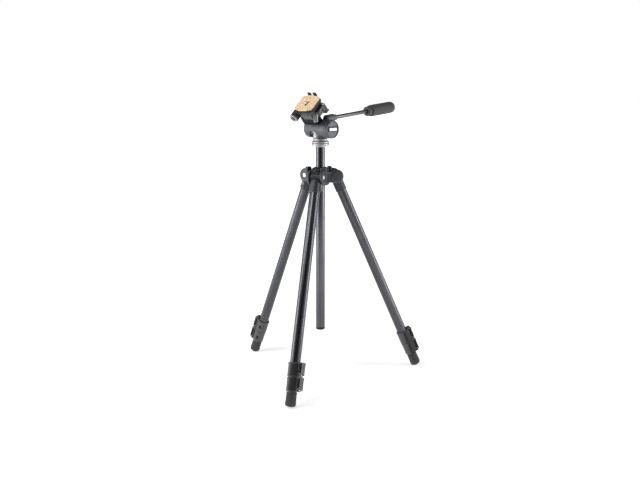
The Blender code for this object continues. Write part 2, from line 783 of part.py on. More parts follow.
def roll_lock_lever():
    """The ribbed thumb lever that pinches the side-tilt hub, about its screw along X."""
    down = Matrix.Rotation(math.radians(-TILT_REST), 4, "X")
    arm = block(22.4, 33.6, -3.6, 3.0, -25.0, 3.0, 1.4)
    ribs = [block(23.2 + 2.5 * k, 24.6 + 2.5 * k, -4.5, -2.0, -22.0, 1.5) for k in range(4)]
    shank = rod(3.0, 9.0, 26.0, "X", segs=16)
    body = join(arm, *ribs)
    body.data.transform(down)
    return join(body, shank)


piece("roll_axle", roll_axle(), TILT, BRIGHT_ALLOY, at=(ROLL_X, 0, ROLL_Z))
piece("roll_lock_lever", roll_lock_lever(), TILT, BRIGHT_ALLOY, at=(0, -5.2, 64.0))


# ---- head: the handle ---------------------------------------------------------
HANDLE = frame("handle_frame", TILT, HANDLE_MATRIX)

piece(
    "handle_rod",
    turned([
        (0, 5.0), (4.0, 5.0), (4.0, 28.4), (ROD_OD / 2, 28.4), (ROD_OD / 2, 196.0), (0, 196.0),
    ], "Y", segs=18),
    HANDLE, BRIGHT_ALLOY,
)
piece(
    "handle_collar",
    turned([
        (ROD_OD / 2 + 0.3, 28.5), (7.2, 28.5), (7.8, 29.3), (7.8, 37.2), (6.8, 38.4), (ROD_OD / 2 + 0.3, 38.4),
    ], "Y", segs=18),
    HANDLE, LOCK_PLASTIC,
)


def grip():
    half, tail, bore = GRIP_OD / 2, HANDLE_END, ROD_OD / 2 + 0.3
    profile = [
        (bore, 161.0),
        (10.8, 161.0),
        (12.6, 162.8),
        (12.9, 179.0),
        (11.6, 181.4),
        (11.6, 184.2),
        (half - 1.3, 186.4),
        (half - 0.9, 192.0),
        (half, 228.0),
        (half, 257.0),
        (half - 0.9, 264.0),
        (half - 3.2, 268.0),
        (half - 7.0, tail - 0.2),
        (0, tail),
        (0, 197.0),
        (bore, 197.0),
    ]
    return turned(profile, "Y", segs=24)


piece("handle_grip", grip(), HANDLE, LOCK_PLASTIC)


# ---- head: the platform --------------------------------------------------------
def shifted(shape):
    """Moves a shape drawn in the tilt frame into the roll frame."""
    shape.data.transform(Matrix.Translation((-ROLL_X, 0, -ROLL_Z)))
    return shape


def platform_table():
    plate = prism(bowed_outline(TABLE_WIDTH, PLATE_DEPTH - 1, 3.0, 3.0, 5.0), TABLE_LOW, TABLE_TOP, at=(TABLE_X, 0, 0))
    ear = rod(ROLL_RADIUS, -30.4, -8.4, "Y", at=(ROLL_X, 0, ROLL_Z), segs=24)
    web = block(ROLL_X, -8, -20.5, -8.7, TABLE_LOW + 0.2, TABLE_TOP - 2.7)
    riser = block(27.8, 34.6, 8.2, 19.8, 50.0, 71.0)
    tongue = block(27.2, 47.8, 7.6, 20.4, 47.6, 53.3, 1.2)
    body = join(plate, ear, web, riser, tongue)
    pin = rod(4.5, -60, 60, "Y", at=(ROLL_X, 0, ROLL_Z), segs=14)
    hinge = rod(2.8, 40, 68, at=(LEVER_X, 14, 0), segs=10)
    return cut(body, pin, hinge)


def release_lever():
    """The quick-release lever beside the table, about its pin."""
    arm = prism(bowed_outline(9.0, 32.5, 0.0, 0.0, 3.2), 59.0, 73.0, at=(LEVER_X + 0.3, 0.75, 0))
    boss = rod(5.8, 53.8, 73.4, at=(LEVER_X, 14, 0), segs=18)
    thumb = rod(5.2, 60.2, 71.8, at=(LEVER_X + 2.0, -11.0, 0), segs=16)
    body = join(arm, boss, thumb)
    pocket = rod(3.8, LEVER_X + 2.6, 60, "X", at=(0, 2.4, 66.0), segs=14)
    hole = rod(2.9, 40, 90, at=(LEVER_X, 14, 0), segs=12)
    return cut(body, pocket, hole)


def quick_plate():
    plate = prism(bowed_outline(PLATE_WIDTH, PLATE_DEPTH, BOW_BACK, BOW_FRONT, 6.0), PLATE_LOW, PLATE_TOP, at=(PLATE_X, 0, 0))
    lugs = [
        block(LUG_X + x - 4.8, LUG_X + x + 4.8, 31.7, 35.6, 82.0, 93.4, 0.9) for x in (-9.0, 9.0)
    ]
    heels = [block(LUG_X + x - 4.5, LUG_X + x + 4.5, 24.0, 34.6, 82.4, 86.4) for x in (-9.0, 9.0)]
    body = join(plate, *heels, *lugs)
    slot = prism(slot_outline(15.0, 7.4, (PLATE_X, 0)), 70, 100)
    pocket = prism(slot_outline(24.0, 16.4, (PLATE_X, 0)), 70, 84.4)
    return cut(body, slot, pocket)


def cork_pad():
    pad = prism(bowed_outline(PLATE_WIDTH - 2.4, PLATE_DEPTH - 2.8, BOW_BACK - 1.6, BOW_FRONT - 0.2, 5.0), CORK_LOW, CORK_TOP, at=(PLATE_X, 0, 0))
    return cut(pad, prism(slot_outline(15.6, 8.0, (PLATE_X, 0)), 70, 100))


def camera_screw():
    half = SCREW_OD / 2
    return turned(
        [
            (0, 80.8), (7.2, 80.8), (7.8, 81.4), (7.8, 83.2), (7.2, 83.9), (half, 83.9),
            (half, 93.6), (half - 0.9, 94.6), (0, 94.6),
        ],
        at=(PLATE_X, 0, 0), segs=18,
    )


piece("platform_table", shifted(platform_table()), ROLL, CAST_PAINT)
HINGE = Vector((LEVER_X - ROLL_X, 14.0, 66.0 - ROLL_Z))


def about(shape, centre):
    shape.data.transform(Matrix.Translation(-centre))
    return shape


piece("quick_release_lever", about(shifted(release_lever()), HINGE), ROLL, CAST_PAINT, at=HINGE)
piece(
    "release_lever_pin",
    shifted(turned([
        (0, 48.6), (2.5, 48.6), (2.5, 73.9), (4.2, 73.9), (4.2, 75.0), (3.6, 75.6), (0, 75.6),
    ], at=(LEVER_X, 14, 0), segs=14)),
    ROLL, STEEL,
)
piece("quick_release_plate", shifted(quick_plate()), ROLL, BLACK_PLASTIC)
piece("cork_pad", shifted(cork_pad()), ROLL, CORK)
SCREW_AT = Vector((PLATE_X - ROLL_X, 0, 80.0 - ROLL_Z))
piece("camera_screw", about(shifted(camera_screw()), SCREW_AT), ROLL, STEEL, at=SCREW_AT)
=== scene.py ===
"""Looks for the photo tripod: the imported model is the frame, and each visible piece is rebuilt at full detail on it."""

import json
import math

import bmesh
import bpy
from mathutils import Matrix, Vector


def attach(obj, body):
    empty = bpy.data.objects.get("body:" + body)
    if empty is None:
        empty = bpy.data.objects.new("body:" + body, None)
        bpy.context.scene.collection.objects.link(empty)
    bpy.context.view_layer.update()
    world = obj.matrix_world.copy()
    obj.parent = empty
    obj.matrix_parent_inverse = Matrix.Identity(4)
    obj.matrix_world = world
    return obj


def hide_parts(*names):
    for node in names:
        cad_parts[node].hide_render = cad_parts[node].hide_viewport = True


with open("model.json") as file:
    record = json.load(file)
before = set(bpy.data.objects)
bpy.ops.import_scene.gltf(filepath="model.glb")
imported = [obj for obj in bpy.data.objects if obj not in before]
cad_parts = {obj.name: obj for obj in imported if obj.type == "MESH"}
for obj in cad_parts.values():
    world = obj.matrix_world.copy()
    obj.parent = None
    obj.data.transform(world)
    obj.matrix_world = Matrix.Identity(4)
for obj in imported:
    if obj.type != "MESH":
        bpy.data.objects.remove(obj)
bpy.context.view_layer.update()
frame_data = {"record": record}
SCENE = bpy.context.scene
BODY_OF = {
    node: body
    for body, nodes in frame_data["record"]["behaviour"]["bodies"].items()
    for node in nodes
}
MM = 0.001

# ---- the model's dimensions (millimetres and degrees) -----------------------
# where the column axis stands, so that the object's box is centred on the origin
COLUMN_X, COLUMN_Y = 60.93, -7.37

# legs
LEG_NAMES = ("front_leg", "right_leg", "left_leg")
LEG_AZIMUTH = (-62.5, 57.5, 177.5)
LEG_SPLAY = 23.85
PIVOT_RADIUS = 39.1
PIVOT_HEIGHT = 532.0
LEVER_AZIMUTH = (80.0, 0.0, 12.0)

UPPER_TUBE_OD, UPPER_TUBE_ID = 26.0, 23.5
MIDDLE_TUBE_OD, MIDDLE_TUBE_ID = 22.4, 20.0
LOWER_TUBE_OD, LOWER_TUBE_ID = 19.0, 16.6
TUBE_GAP = 0.35
UPPER_TUBE_TOP, UPPER_TUBE_END = -13.0, -487.0
MIDDLE_TUBE_TOP, MIDDLE_TUBE_END = -30.0, -522.0
LOWER_TUBE_TOP, LOWER_TUBE_END = -48.0, -557.0

DRUM_RADIUS = 10.5
DRUM_NEAR, DRUM_FAR = -15.0, 13.0
NEAR_EAR_RADIUS, FAR_EAR_RADIUS = 18.5, 18.0
SLEEVE_END = -43.0

UPPER_COLLAR_TOP, UPPER_COLLAR_END, UPPER_COLLAR_OD = -472.0, -506.5, 33.0
LOWER_COLLAR_TOP, LOWER_COLLAR_END, LOWER_COLLAR_OD = -507.5, -542.0, 31.0
LEVER_RADIUS = 20.7
UPPER_LEVER_Z, LOWER_LEVER_Z = -499.0, -534.8
LEVER_LENGTH, LEVER_WIDTH, LEVER_THICK = 28.0, 19.0, 7.0
FOOT_TOP = -543.0
FOOT_BALL = 13.0  # height of the foot's centre above the floor
FOOT_CORNER, FOOT_SIDE = 6.0, 13.4
FOOT_CENTRE = -(PIVOT_HEIGHT - FOOT_BALL) / math.cos(math.radians(LEG_SPLAY))

# spider and centre column
HUB_RADIUS, HUB_LOW, HUB_TOP = 22.5, 508.0, 543.0
RIM_RADIUS, RIM_LOW = 29.0, 539.5
BUSH_BORE, BUSH_OD, BUSH_RIM = 24.7, 30.0, 22.6
COLUMN_OD, COLUMN_ID = 24.0, 20.8
COLUMN_LOW, COLUMN_TOP = 128.5, 606.0
KNOB_AZIMUTH = LEG_AZIMUTH[0] + 180.0
KNOB_HEIGHT = 517.0

# head
DISC_LOW, DISC_TOP, DISC_OD = 609.9, 615.9, 45.5
PAN_LOW, PAN_TOP, PAN_OD = 616.3, 621.5, 44.0
NECK_OD, NECK_TOP = 35.5, 628.3
TILT_HEIGHT = 652.5
TILT_REST = 42.5
TILT_FORWARD, TILT_BACK = 80.0, -25.0
BARREL_RADIUS = 23.5
BARREL_LEFT, BARREL_RIGHT = -41.0, 33.0
CAVITY_RADIUS = 19.0
POST_X, POST_RADIUS, SLOT_RADIUS = -9.0, 13.0, 15.0
CAP_RIGHT = 44.5
PLATE_X = 9.5
PLATE_WIDTH, PLATE_DEPTH = 62.0, 45.0
BOW_FRONT, BOW_BACK = 4.5, 11.5
LUG_X = 4.0
TABLE_LOW, TABLE_TOP = 69.0, 80.0
TABLE_X, TABLE_WIDTH = 11.2, 52.4
PLATE_LOW, PLATE_TOP = 80.35, 86.8
CORK_LOW, CORK_TOP = 87.15, 89.2
SCREW_OD = 6.35
LEVER_X = 43.8
ROLL_X, ROLL_Z, ROLL_RADIUS = -29.0, 66.0, 11.6
HANDLE_X, HANDLE_OFFSET, HANDLE_DROP = 20.0, 25.9, 37.5
ROD_OD, GRIP_OD = 10.5, 31.0
HANDLE_END = 270.0

SEGS = 56


# ---- materials --------------------------------------------------------------
class Look:
    """A node material under construction."""

    def __init__(self, name, metallic=0.0, coat=0.0, coat_rough=0.2, specular=0.5):
        self.mat = bpy.data.materials.new(name)
        self.mat.use_nodes = True
        self.nodes = self.mat.node_tree.nodes
        self.links = self.mat.node_tree.links
        self.shader = self.nodes["Principled BSDF"]
        self.shader.inputs["Metallic"].default_value = metallic
        self.shader.inputs["Coat Weight"].default_value = coat
        self.shader.inputs["Coat Roughness"].default_value = coat_rough
        self.shader.inputs["Specular IOR Level"].default_value = specular
        self.coords = self.nodes.new("ShaderNodeTexCoord")
        self.height = None

    def place(self, scale=(1, 1, 1), turn=(0, 0, 0)):
        node = self.nodes.new("ShaderNodeMapping")
        node.inputs["Scale"].default_value = scale
        node.inputs["Rotation"].default_value = turn
        self.links.new(self.coords.outputs["Object"], node.inputs["Vector"])
        return node.outputs["Vector"]

    def noise(self, scale, detail=3.0, rough=0.5, at=None):
        node = self.nodes.new("ShaderNodeTexNoise")
        node.inputs["Scale"].default_value = scale
        node.inputs["Detail"].default_value = detail
        node.inputs["Roughness"].default_value = rough
        self.links.new(at if at is not None else self.place(), node.inputs["Vector"])
        return node.outputs["Fac"]

    def cells(self, scale, feature="F1", at=None, output="Distance", random=1.0):
        node = self.nodes.new("ShaderNodeTexVoronoi")
        node.feature = feature
        node.inputs["Scale"].default_value = scale
        node.inputs["Randomness"].default_value = random
        self.links.new(at if at is not None else self.place(), node.inputs["Vector"])
        return node.outputs[output]

    def ramp(self, value, stops):
        """stops is a list of (position, colour or grey)."""
        node = self.nodes.new("ShaderNodeValToRGB")
        while len(node.color_ramp.elements) < len(stops):
            node.color_ramp.elements.new(0.5)
        for element, (position, colour) in zip(node.color_ramp.elements, stops):
            element.position = position
            rgb = colour if isinstance(colour, tuple) else (colour, colour, colour)
            element.color = (*rgb, 1.0)
        self.links.new(value, node.inputs["Fac"])
        return node.outputs["Color"]

    def mix(self, factor, a, b, kind="MIX"):
        node = self.nodes.new("ShaderNodeMix")
        node.data_type = "RGBA"
        node.blend_type = kind
        for socket, value in ((node.inputs[0], factor), (node.inputs[6], a), (node.inputs[7], b)):
            if isinstance(value, (int, float)):
                socket.default_value = value if socket == node.inputs[0] else (value, value, value, 1.0)
            elif isinstance(value, tuple):
                socket.default_value = (*value, 1.0)
            else:
                self.links.new(value, socket)
        return node.outputs[2]

    def edges(self, low=0.508, high=0.545):
        """Where the surface is convex and dense enough to tell: worn edges."""
        node = self.nodes.new("ShaderNodeNewGeometry")
        return self.ramp(node.outputs["Pointiness"], [(low, 0.0), (high, 1.0)])

    def colour(self, value):
        self.links.new(value, self.shader.inputs["Base Color"])

    def rough(self, value, low, high):
        node = self.nodes.new("ShaderNodeMapRange")
        node.inputs["To Min"].default_value = low
        node.inputs["To Max"].default_value = high
        self.links.new(value, node.inputs["Value"])
        self.links.new(node.outputs["Result"], self.shader.inputs["Roughness"])

    def bump(self, value, depth_mm, strength=1.0):
        node = self.nodes.new("ShaderNodeBump")
        node.inputs["Strength"].default_value = strength
        node.inputs["Distance"].default_value = depth_mm * MM
        self.links.new(value, node.inputs["Height"])
        if self.height is not None:
            self.links.new(self.height, node.inputs["Normal"])
        self.height = node.outputs["Normal"]
        self.links.new(self.height, self.shader.inputs["Normal"])


def tube_look(name, gain=1.0, rough=(0.24, 0.38)):
    """Dark grey anodised tube: drawn lines along it, a faint cross-hatched grain, small scuffs."""
    k = Look(name, metallic=0.92)
    streak = k.noise(1.0, 4.0, 0.6, k.place((1500, 1500, 18)))
    grain = k.noise(1.0, 2.0, 0.5, k.place((1400, 1400, 900), (0.5, 0.0, 0.6)))
    patch = k.noise(28.0, 3.0, 0.55)

    def tone(grey):
        return (grey * gain, grey * gain * 1.01, grey * gain * 1.08)

    base = k.mix(streak, tone(0.066), tone(0.112))
    base = k.mix(k.ramp(patch, [(0.35, 0.0), (0.75, 0.5)]), base, tone(0.060))
    k.colour(base)
    k.rough(k.mix(0.5, streak, grain), *rough)
    k.bump(streak, 0.010, 0.5)
    k.bump(grain, 0.018, 0.5)
    return k.mat


def cast_look(name, gain=1.0, coat=0.12, specular=0.4):
    """Grey hammered paint on a casting: shallow dimples, a slight blue, lighter worn edges."""
    k = Look(name, metallic=0.2, coat=coat, coat_rough=0.35, specular=specular)
    dimple = k.cells(460.0, "SMOOTH_F1")
    blotch = k.noise(300.0, 4.0, 0.65)
    fine = k.noise(1600.0, 2.0, 0.5)

    def tone(grey):
        return (grey * gain, grey * gain * 1.04, grey * gain * 1.18)

    base = k.mix(k.ramp(blotch, [(0.32, 0.0), (0.68, 1.0)]), tone(0.020), tone(0.062))
    base = k.mix(k.ramp(dimple, [(0.15, 0.0), (0.7, 0.7)]), base, tone(0.105))
    base = k.mix(k.edges(), base, tone(0.21))
    k.colour(base)
    k.rough(k.mix(0.5, blotch, dimple), 0.34, 0.56)
    k.bump(dimple, 0.22, 0.85)
    k.bump(fine, 0.02, 0.4)
    return k.mat


def moulded_look(name, dark, light, rough=(0.42, 0.6), grain_mm=0.35, depth=0.03, edge=0.09, coat=0.0, specular=0.4):
    """Moulded plastic: a spark-eroded grain, a little mottling and paler edges."""
    k = Look(name, coat=coat, specular=specular)
    grain = k.noise(1.0 / (grain_mm * MM), 3.0, 0.6)
    cloud = k.noise(70.0, 4.0, 0.6)
    base = k.mix(cloud, (dark, dark, dark * 1.03), (light, light, light * 1.03))
    base = k.mix(k.ramp(grain, [(0.3, 0.0), (0.8, 0.35)]), base, (light * 1.25, light * 1.25, light * 1.28))
    base = k.mix(k.edges(), base, (light + edge, light + edge, light + edge * 1.05))
    k.colour(base)
    k.rough(grain, *rough)
    k.bump(grain, depth, 0.7)
    return k.mat


def rubber_look(name, dark, light):
    k = Look(name, specular=0.35)
    grain = k.noise(2200.0, 3.0, 0.6)
    dust = k.noise(60.0, 5.0, 0.65)
    base = k.mix(k.ramp(dust, [(0.35, 0.0), (0.8, 0.8)]), (dark, dark, dark), (light, light, light * 0.98))
    k.colour(k.mix(k.edges(), base, (light * 1.5, light * 1.5, light * 1.5)))
    k.rough(dust, 0.62, 0.88)
    k.bump(grain, 0.035, 0.7)
    return k.mat


def bright_look(name, tone, rough, lines=(6, 6, 2600), wear=0.16):
    """Turned bright metal: fine tool lines round the axis, faint tarnish."""
    k = Look(name, metallic=1.0)
    line = k.noise(1.0, 3.0, 0.6, k.place(lines))
    haze = k.noise(110.0, 4.0, 0.6)
    base = k.mix(k.ramp(haze, [(0.35, 0.0), (0.85, 0.7)]), (tone, tone, tone * 1.01), (tone - wear, tone - wear, tone - wear * 0.95))
    k.colour(k.mix(k.ramp(line, [(0.3, 0.0), (0.8, 0.35)]), base, (tone * 0.82, tone * 0.82, tone * 0.83)))
    k.rough(k.mix(0.5, haze, line), rough, rough + 0.16)
    k.bump(line, 0.012, 0.6)
    return k.mat


def cork_look():
    """Pressed cork: granules of several tans, dark pores, a soft uneven face."""
    k = Look("cork_sheet", specular=0.25)
    wobble = k.noise(700.0, 2.0, 0.5)
    grain_at = k.place((1, 1, 1))
    granule = k.cells(430.0, "F1", grain_at, "Color")
    split = k.nodes.new("ShaderNodeSeparateColor")
    k.links.new(granule, split.inputs["Color"])
    tan = k.ramp(split.outputs[0], [(0.0, (0.55, 0.33, 0.16)), (0.25, (0.80, 0.55, 0.31)), (0.7, (0.95, 0.69, 0.42)), (1.0, (1.0, 0.80, 0.54))])
    seam = k.cells(430.0, "DISTANCE_TO_EDGE", grain_at)
    base = k.mix(k.ramp(seam, [(0.0, 0.45), (0.09, 0.0)]), tan, (0.52, 0.33, 0.17))
    pore = k.ramp(k.noise(1500.0, 4.0, 0.7), [(0.66, 0.0), (0.74, 0.75)])
    base = k.mix(pore, base, (0.36, 0.21, 0.10))
    k.colour(k.mix(k.ramp(wobble, [(0.3, 0.0), (0.8, 0.25)]), base, (0.95, 0.80, 0.60)))
    k.rough(seam, 0.95, 0.72)
    k.bump(k.ramp(seam, [(0.0, 0.0), (0.12, 1.0)]), 0.09, 0.7)
    k.bump(wobble, 0.07, 0.6)
    return k.mat


def plate_look():
    k = Look("blank_plate", coat=0.3, coat_rough=0.25)
    brush = k.noise(1.0, 3.0, 0.6, k.place((900, 12, 2600)))
    base = k.mix(brush, (0.80, 0.80, 0.81), (0.92, 0.92, 0.92))
    k.colour(base)
    k.rough(brush, 0.3, 0.45)
    k.bump(brush, 0.008, 0.5)
    return k.mat


ANODISED = tube_look("tube_anodised")
COLUMN_TUBE = tube_look("column_anodised", 1.15, (0.18, 0.28))
# a darker, glossier copy of the tube finish for the front leg's upper tube only: painted shade, as the three legs'
# tubes are alike
FRONT_TUBE_SHADED_COPY = tube_look("front_tube_shaded_copy", 0.95, (0.20, 0.30))
CAST_PAINT = cast_look("cast_hammered_paint")
DARK_CAST = cast_look("cast_dark_paint", 0.50)
LOCK_PLASTIC = moulded_look("lock_grey_plastic", 0.050, 0.082, grain_mm=0.5, depth=0.06, edge=0.10)
BLACK_PLASTIC = moulded_look("black_plastic", 0.005, 0.009, (0.42, 0.6), edge=0.035, specular=0.25)
RUBBER = rubber_look("foot_rubber", 0.028, 0.056)
GRIP = rubber_look("grip_soft_rubber", 0.040, 0.070)
BRIGHT_ALLOY = bright_look("bright_alloy_turned", 0.38, 0.42)
LEVER_ALLOY = bright_look("lever_alloy_satin", 0.17, 0.34, (900, 900, 60), 0.05)
STEEL = bright_look("steel_turned", 0.70, 0.24)
DARK_METAL = bright_look("handle_dark_metal", 0.105, 0.24, (1400, 14, 1400), 0.05)
# near-black paint used as painted shade: in the recess between barrel and saddle, and on the floor of the cap's channel
RECESS_PAINTED_SHADE = cast_look("cast_recess_painted_shade", 0.12, 0.0, 0.08)
LOCK_PANEL = moulded_look("lock_panel_grained", 0.010, 0.024, grain_mm=0.9, depth=0.12, edge=0.05, specular=0.25)
# near-black plastic: partly the levers' dark side pads, partly painted shade in the lever hollows and the collar window
# pockets
LOCK_DARK_AND_PAINTED_SHADE = moulded_look("lock_dark_pad_and_painted_shade", 0.004, 0.007, (0.6, 0.8), edge=0.008, specular=0.12)
CORK = cork_look()
PALE_PLATE = plate_look()


# ---- shape helpers: every shape is built in millimetres about its own origin ---
def add_object(name, bm):
    bmesh.ops.recalc_face_normals(bm, faces=bm.faces)
    mesh = bpy.data.meshes.new(name)
    bm.to_mesh(mesh)
    bm.free()
    obj = bpy.data.objects.new(name, mesh)
    SCENE.collection.objects.link(obj)
    return obj


def axis_matrix(axis):
    """Turns the Z axis that a shape is built about onto X, Y or Z."""
    if axis == "X":
        return Matrix.Rotation(math.radians(90), 4, "Y")
    if axis == "Y":
        return Matrix.Rotation(math.radians(-90), 4, "X")
    return Matrix.Identity(4)


def softened(profile, radius):
    """The profile loop with each corner off the axis rounded."""
    out = []
    count = len(profile)
    for i, corner in enumerate(profile):
        here, before, after = Vector(corner), Vector(profile[i - 1]), Vector(profile[(i + 1) % count])
        a, b = before - here, after - here
        if here.x < 1e-6 or a.length < 1e-6 or b.length < 1e-6:
            out.append(tuple(here))
            continue
        turn = a.normalized().angle(b.normalized())
        if turn > math.radians(168) or turn < math.radians(12):
            out.append(tuple(here))
            continue
        reach = min(radius, 0.32 * a.length, 0.32 * b.length)
        start, end = here + a.normalized() * reach, here + b.normalized() * reach
        for k in range(4):
            t = k / 3
            out.append(tuple((1 - t) ** 2 * start + 2 * t * (1 - t) * here + t * t * end))
    return out


def turned(profile, axis="Z", at=(0, 0, 0), segs=SEGS, soft=0.45):
    """A solid of revolution with rounded edges. The profile is a loop of (radius, height)."""
    segs = max(segs, SEGS)
    if soft:
        profile = softened(profile, soft)
    bm = bmesh.new()
    rings = []
    for radius, height in profile:
        if radius < 1e-6:
            rings.append([bm.verts.new((0, 0, height))])
        else:
            rings.append(
                [
                    bm.verts.new(
                        (
                            radius * math.cos(2 * math.pi * i / segs),
                            radius * math.sin(2 * math.pi * i / segs),
                            height,
                        )
                    )
                    for i in range(segs)
                ]
            )
    for k, low in enumerate(rings):
        high = rings[(k + 1) % len(rings)]
        if len(low) == 1 and len(high) == 1:
            continue
        for i in range(segs):
            j = (i + 1) % segs
            if len(low) == 1:
                bm.faces.new((low[0], high[j], high[i]))
            elif len(high) == 1:
                bm.faces.new((low[i], low[j], high[0]))
            else:
                bm.faces.new((low[i], low[j], high[j], high[i]))
    place = Matrix.Translation(Vector(at)) @ axis_matrix(axis)
    bmesh.ops.transform(bm, matrix=place, verts=bm.verts)
    return add_object("shape", bm)


def rod(radius, low, high, axis="Z", at=(0, 0, 0), segs=SEGS, chamfer=0.0):
    c = chamfer
    if c:
        profile = [(0, low), (radius - c, low), (radius, low + c), (radius, high - c), (radius - c, high), (0, high)]
    else:
        profile = [(0, low), (radius, low), (radius, high), (0, high)]
    return turned(profile, axis, at, segs, 0.5 if c else 0.0)


def block(x0, x1, y0, y1, z0, z1, bevel=0.0, steps=1, matrix=None):
    bm = bmesh.new()
    bmesh.ops.create_cube(bm, size=1.0)
    size = Matrix.Diagonal((x1 - x0, y1 - y0, z1 - z0, 1.0))
    centre = Matrix.Translation(((x0 + x1) / 2, (y0 + y1) / 2, (z0 + z1) / 2))
    bmesh.ops.transform(bm, matrix=centre @ size, verts=bm.verts)
    if bevel:
        bmesh.ops.bevel(
            bm, geom=bm.edges[:], offset=bevel, segments=steps, profile=0.5, affect="EDGES"
        )
    if matrix is not None:
        bmesh.ops.transform(bm, matrix=matrix, verts=bm.verts)
    return add_object("shape", bm)


def prism(outline, low, high, axis="Z", at=(0, 0, 0)):
    """A flat outline, a list of (x, y), carried from low to high."""
    bm = bmesh.new()
    bottom = [bm.verts.new((x, y, low)) for x, y in outline]
    top = [bm.verts.new((x, y, high)) for x, y in outline]
    bm.faces.new(bottom[::-1])
    bm.faces.new(top)
    for i in range(len(outline)):
        j = (i + 1) % len(outline)
        bm.faces.new((bottom[i], bottom[j], top[j], top[i]))
    place = Matrix.Translation(Vector(at)) @ axis_matrix(axis)
    bmesh.ops.transform(bm, matrix=place, verts=bm.verts)
    return add_object("shape", bm)


def bowed_outline(width, depth, back, front, corner, steps=3):
    """A rectangle with round corners whose front and back edges bow outwards."""
    points = []
    corners = (
        (width / 2 - corner, depth / 2 - corner, 0),
        (-width / 2 + corner, depth / 2 - corner, 90),
        (-width / 2 + corner, -depth / 2 + corner, 180),
        (width / 2 - corner, -depth / 2 + corner, 270),
    )
    for index, (cx, cy, start) in enumerate(corners):
        for k in range(steps + 1):
            a = math.radians(start + 90 * k / steps)
            points.append((cx + corner * math.cos(a), cy + corner * math.sin(a)))
        if index in (0, 2):
            sign, bulge = (1, back) if index == 0 else (-1, front)
            for k in range(1, 12):
                u = 1 - 2 * k / 12
                x = sign * u * (width / 2 - corner)
                points.append((x, sign * (depth / 2 + bulge * (1 - u * u))))
    return points


def slot_outline(length, width, at=(0, 0), steps=5):
    """A slot with round ends, long along Y."""
    points = []
    for sign, start in ((1, 0), (-1, 180)):
        for k in range(steps + 1):
            a = math.radians(start + 180 * k / steps)
            points.append(
                (
                    at[0] + width / 2 * math.cos(a),
                    at[1] + sign * (length - width) / 2 + width / 2 * math.sin(a),
                )
            )
    return points


def is_closed(mesh):
    bm = bmesh.new()
    bm.from_mesh(mesh)
    closed = all(len(edge.link_faces) == 2 for edge in bm.edges)
    bm.free()
    return closed


def triangles(obj):
    bm = bmesh.new()
    bm.from_mesh(obj.data)
    bmesh.ops.triangulate(bm, faces=bm.faces[:])
    bm.to_mesh(obj.data)
    bm.free()


def baked(obj):
    """The object's mesh with its modifiers applied."""
    bpy.context.view_layer.update()
    graph = bpy.context.evaluated_depsgraph_get()
    mesh = bpy.data.meshes.new_from_object(obj.evaluated_get(graph))
    obj.modifiers.clear()
    obj.data = mesh
    return obj


def combine(target, others, operation):
    """Joins shapes to the target, or takes them from it."""
    triangles(target)
    for other in others:
        triangles(other)
        before = target.data
        for solver in ("EXACT", "MANIFOLD"):
            target.data = before
            modifier = target.modifiers.new("step", "BOOLEAN")
            modifier.operation = operation
            modifier.solver = solver
            modifier.object = other
            baked(target)
            if is_closed(target.data):
                break
        triangles(target)
        bpy.data.objects.remove(other, do_unlink=True)
    return target


def join(target, *others):
    return combine(target, others, "UNION")


def cut(target, *others):
    return combine(target, others, "DIFFERENCE")


def cast(obj, voxel=0.6, rounds=5, keep=0.5):
    """Rounds every edge and inner corner of a shape, as a casting or a moulding has them."""
    modifier = obj.modifiers.new("skin", "REMESH")
    modifier.mode = "VOXEL"
    modifier.voxel_size = voxel
    modifier = obj.modifiers.new("soften", "SMOOTH")
    modifier.factor = 0.5
    modifier.iterations = rounds
    if keep < 1:
        modifier = obj.modifiers.new("thin", "DECIMATE")
        modifier.ratio = keep
    baked(obj)
    obj["is_cast"] = True
    return obj


def frame(name, parent, matrix):
    """The place of one moving body's pieces, in millimetres."""
    return (parent if parent is not None else Matrix.Identity(4)) @ matrix


def piece(name, shape, parent, mat, at=(0, 0, 0), turn=None, sharp=38.0, node=None, body=None):
    """Sets a finished shape in its place. It stands for the CAD node of the same name unless node is False."""
    node = name if node is None else node
    place = parent @ Matrix.Translation(Vector(at))
    if turn is not None:
        place = place @ turn
    place = place.copy()
    place.translation = place.translation * MM
    shape.name = "v_" + name
    mesh = shape.data
    mesh.name = shape.name
    mesh.transform(Matrix.Scale(MM, 4))
    kept = shape.get("materials_set")
    if not kept:
        mesh.materials.clear()
        mesh.materials.append(mat)
    mesh.shade_smooth()
    if not shape.get("is_cast"):
        mesh.set_sharp_from_angle(angle=math.radians(sharp))
    shape.matrix_world = place
    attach(shape, body or BODY_OF[name])
    if node:
        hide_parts(node)
    return shape


# ---- the frames -------------------------------------------------------------
ASSEMBLY = frame("assembly", None, Matrix.Translation((COLUMN_X, COLUMN_Y, 0)))
PAN = frame("pan_frame", ASSEMBLY, Matrix.Translation((0, 0, TILT_HEIGHT)))
TILT = frame("tilt_frame", PAN, Matrix.Rotation(math.radians(TILT_REST), 4, "X"))
ROLL = frame("roll_frame", TILT, Matrix.Translation((ROLL_X, 0, ROLL_Z)))
LEGS = []
for leg_name, azimuth in zip(LEG_NAMES, LEG_AZIMUTH):
    out = Matrix.Rotation(math.radians(azimuth), 4, "Z")
    splay = Matrix.Rotation(math.radians(-LEG_SPLAY), 4, "Y")
    LEGS.append(
        frame(
            leg_name + "_frame",
            ASSEMBLY,
            out @ Matrix.Translation((PIVOT_RADIUS, 0, PIVOT_HEIGHT)) @ splay,
        )
    )


# ---- legs -------------------------------------------------------------------
def tube(outer, inner, low, high):
    return turned(
        [(inner / 2, low), (outer / 2, low), (outer / 2, high), (inner / 2, high)]
    )


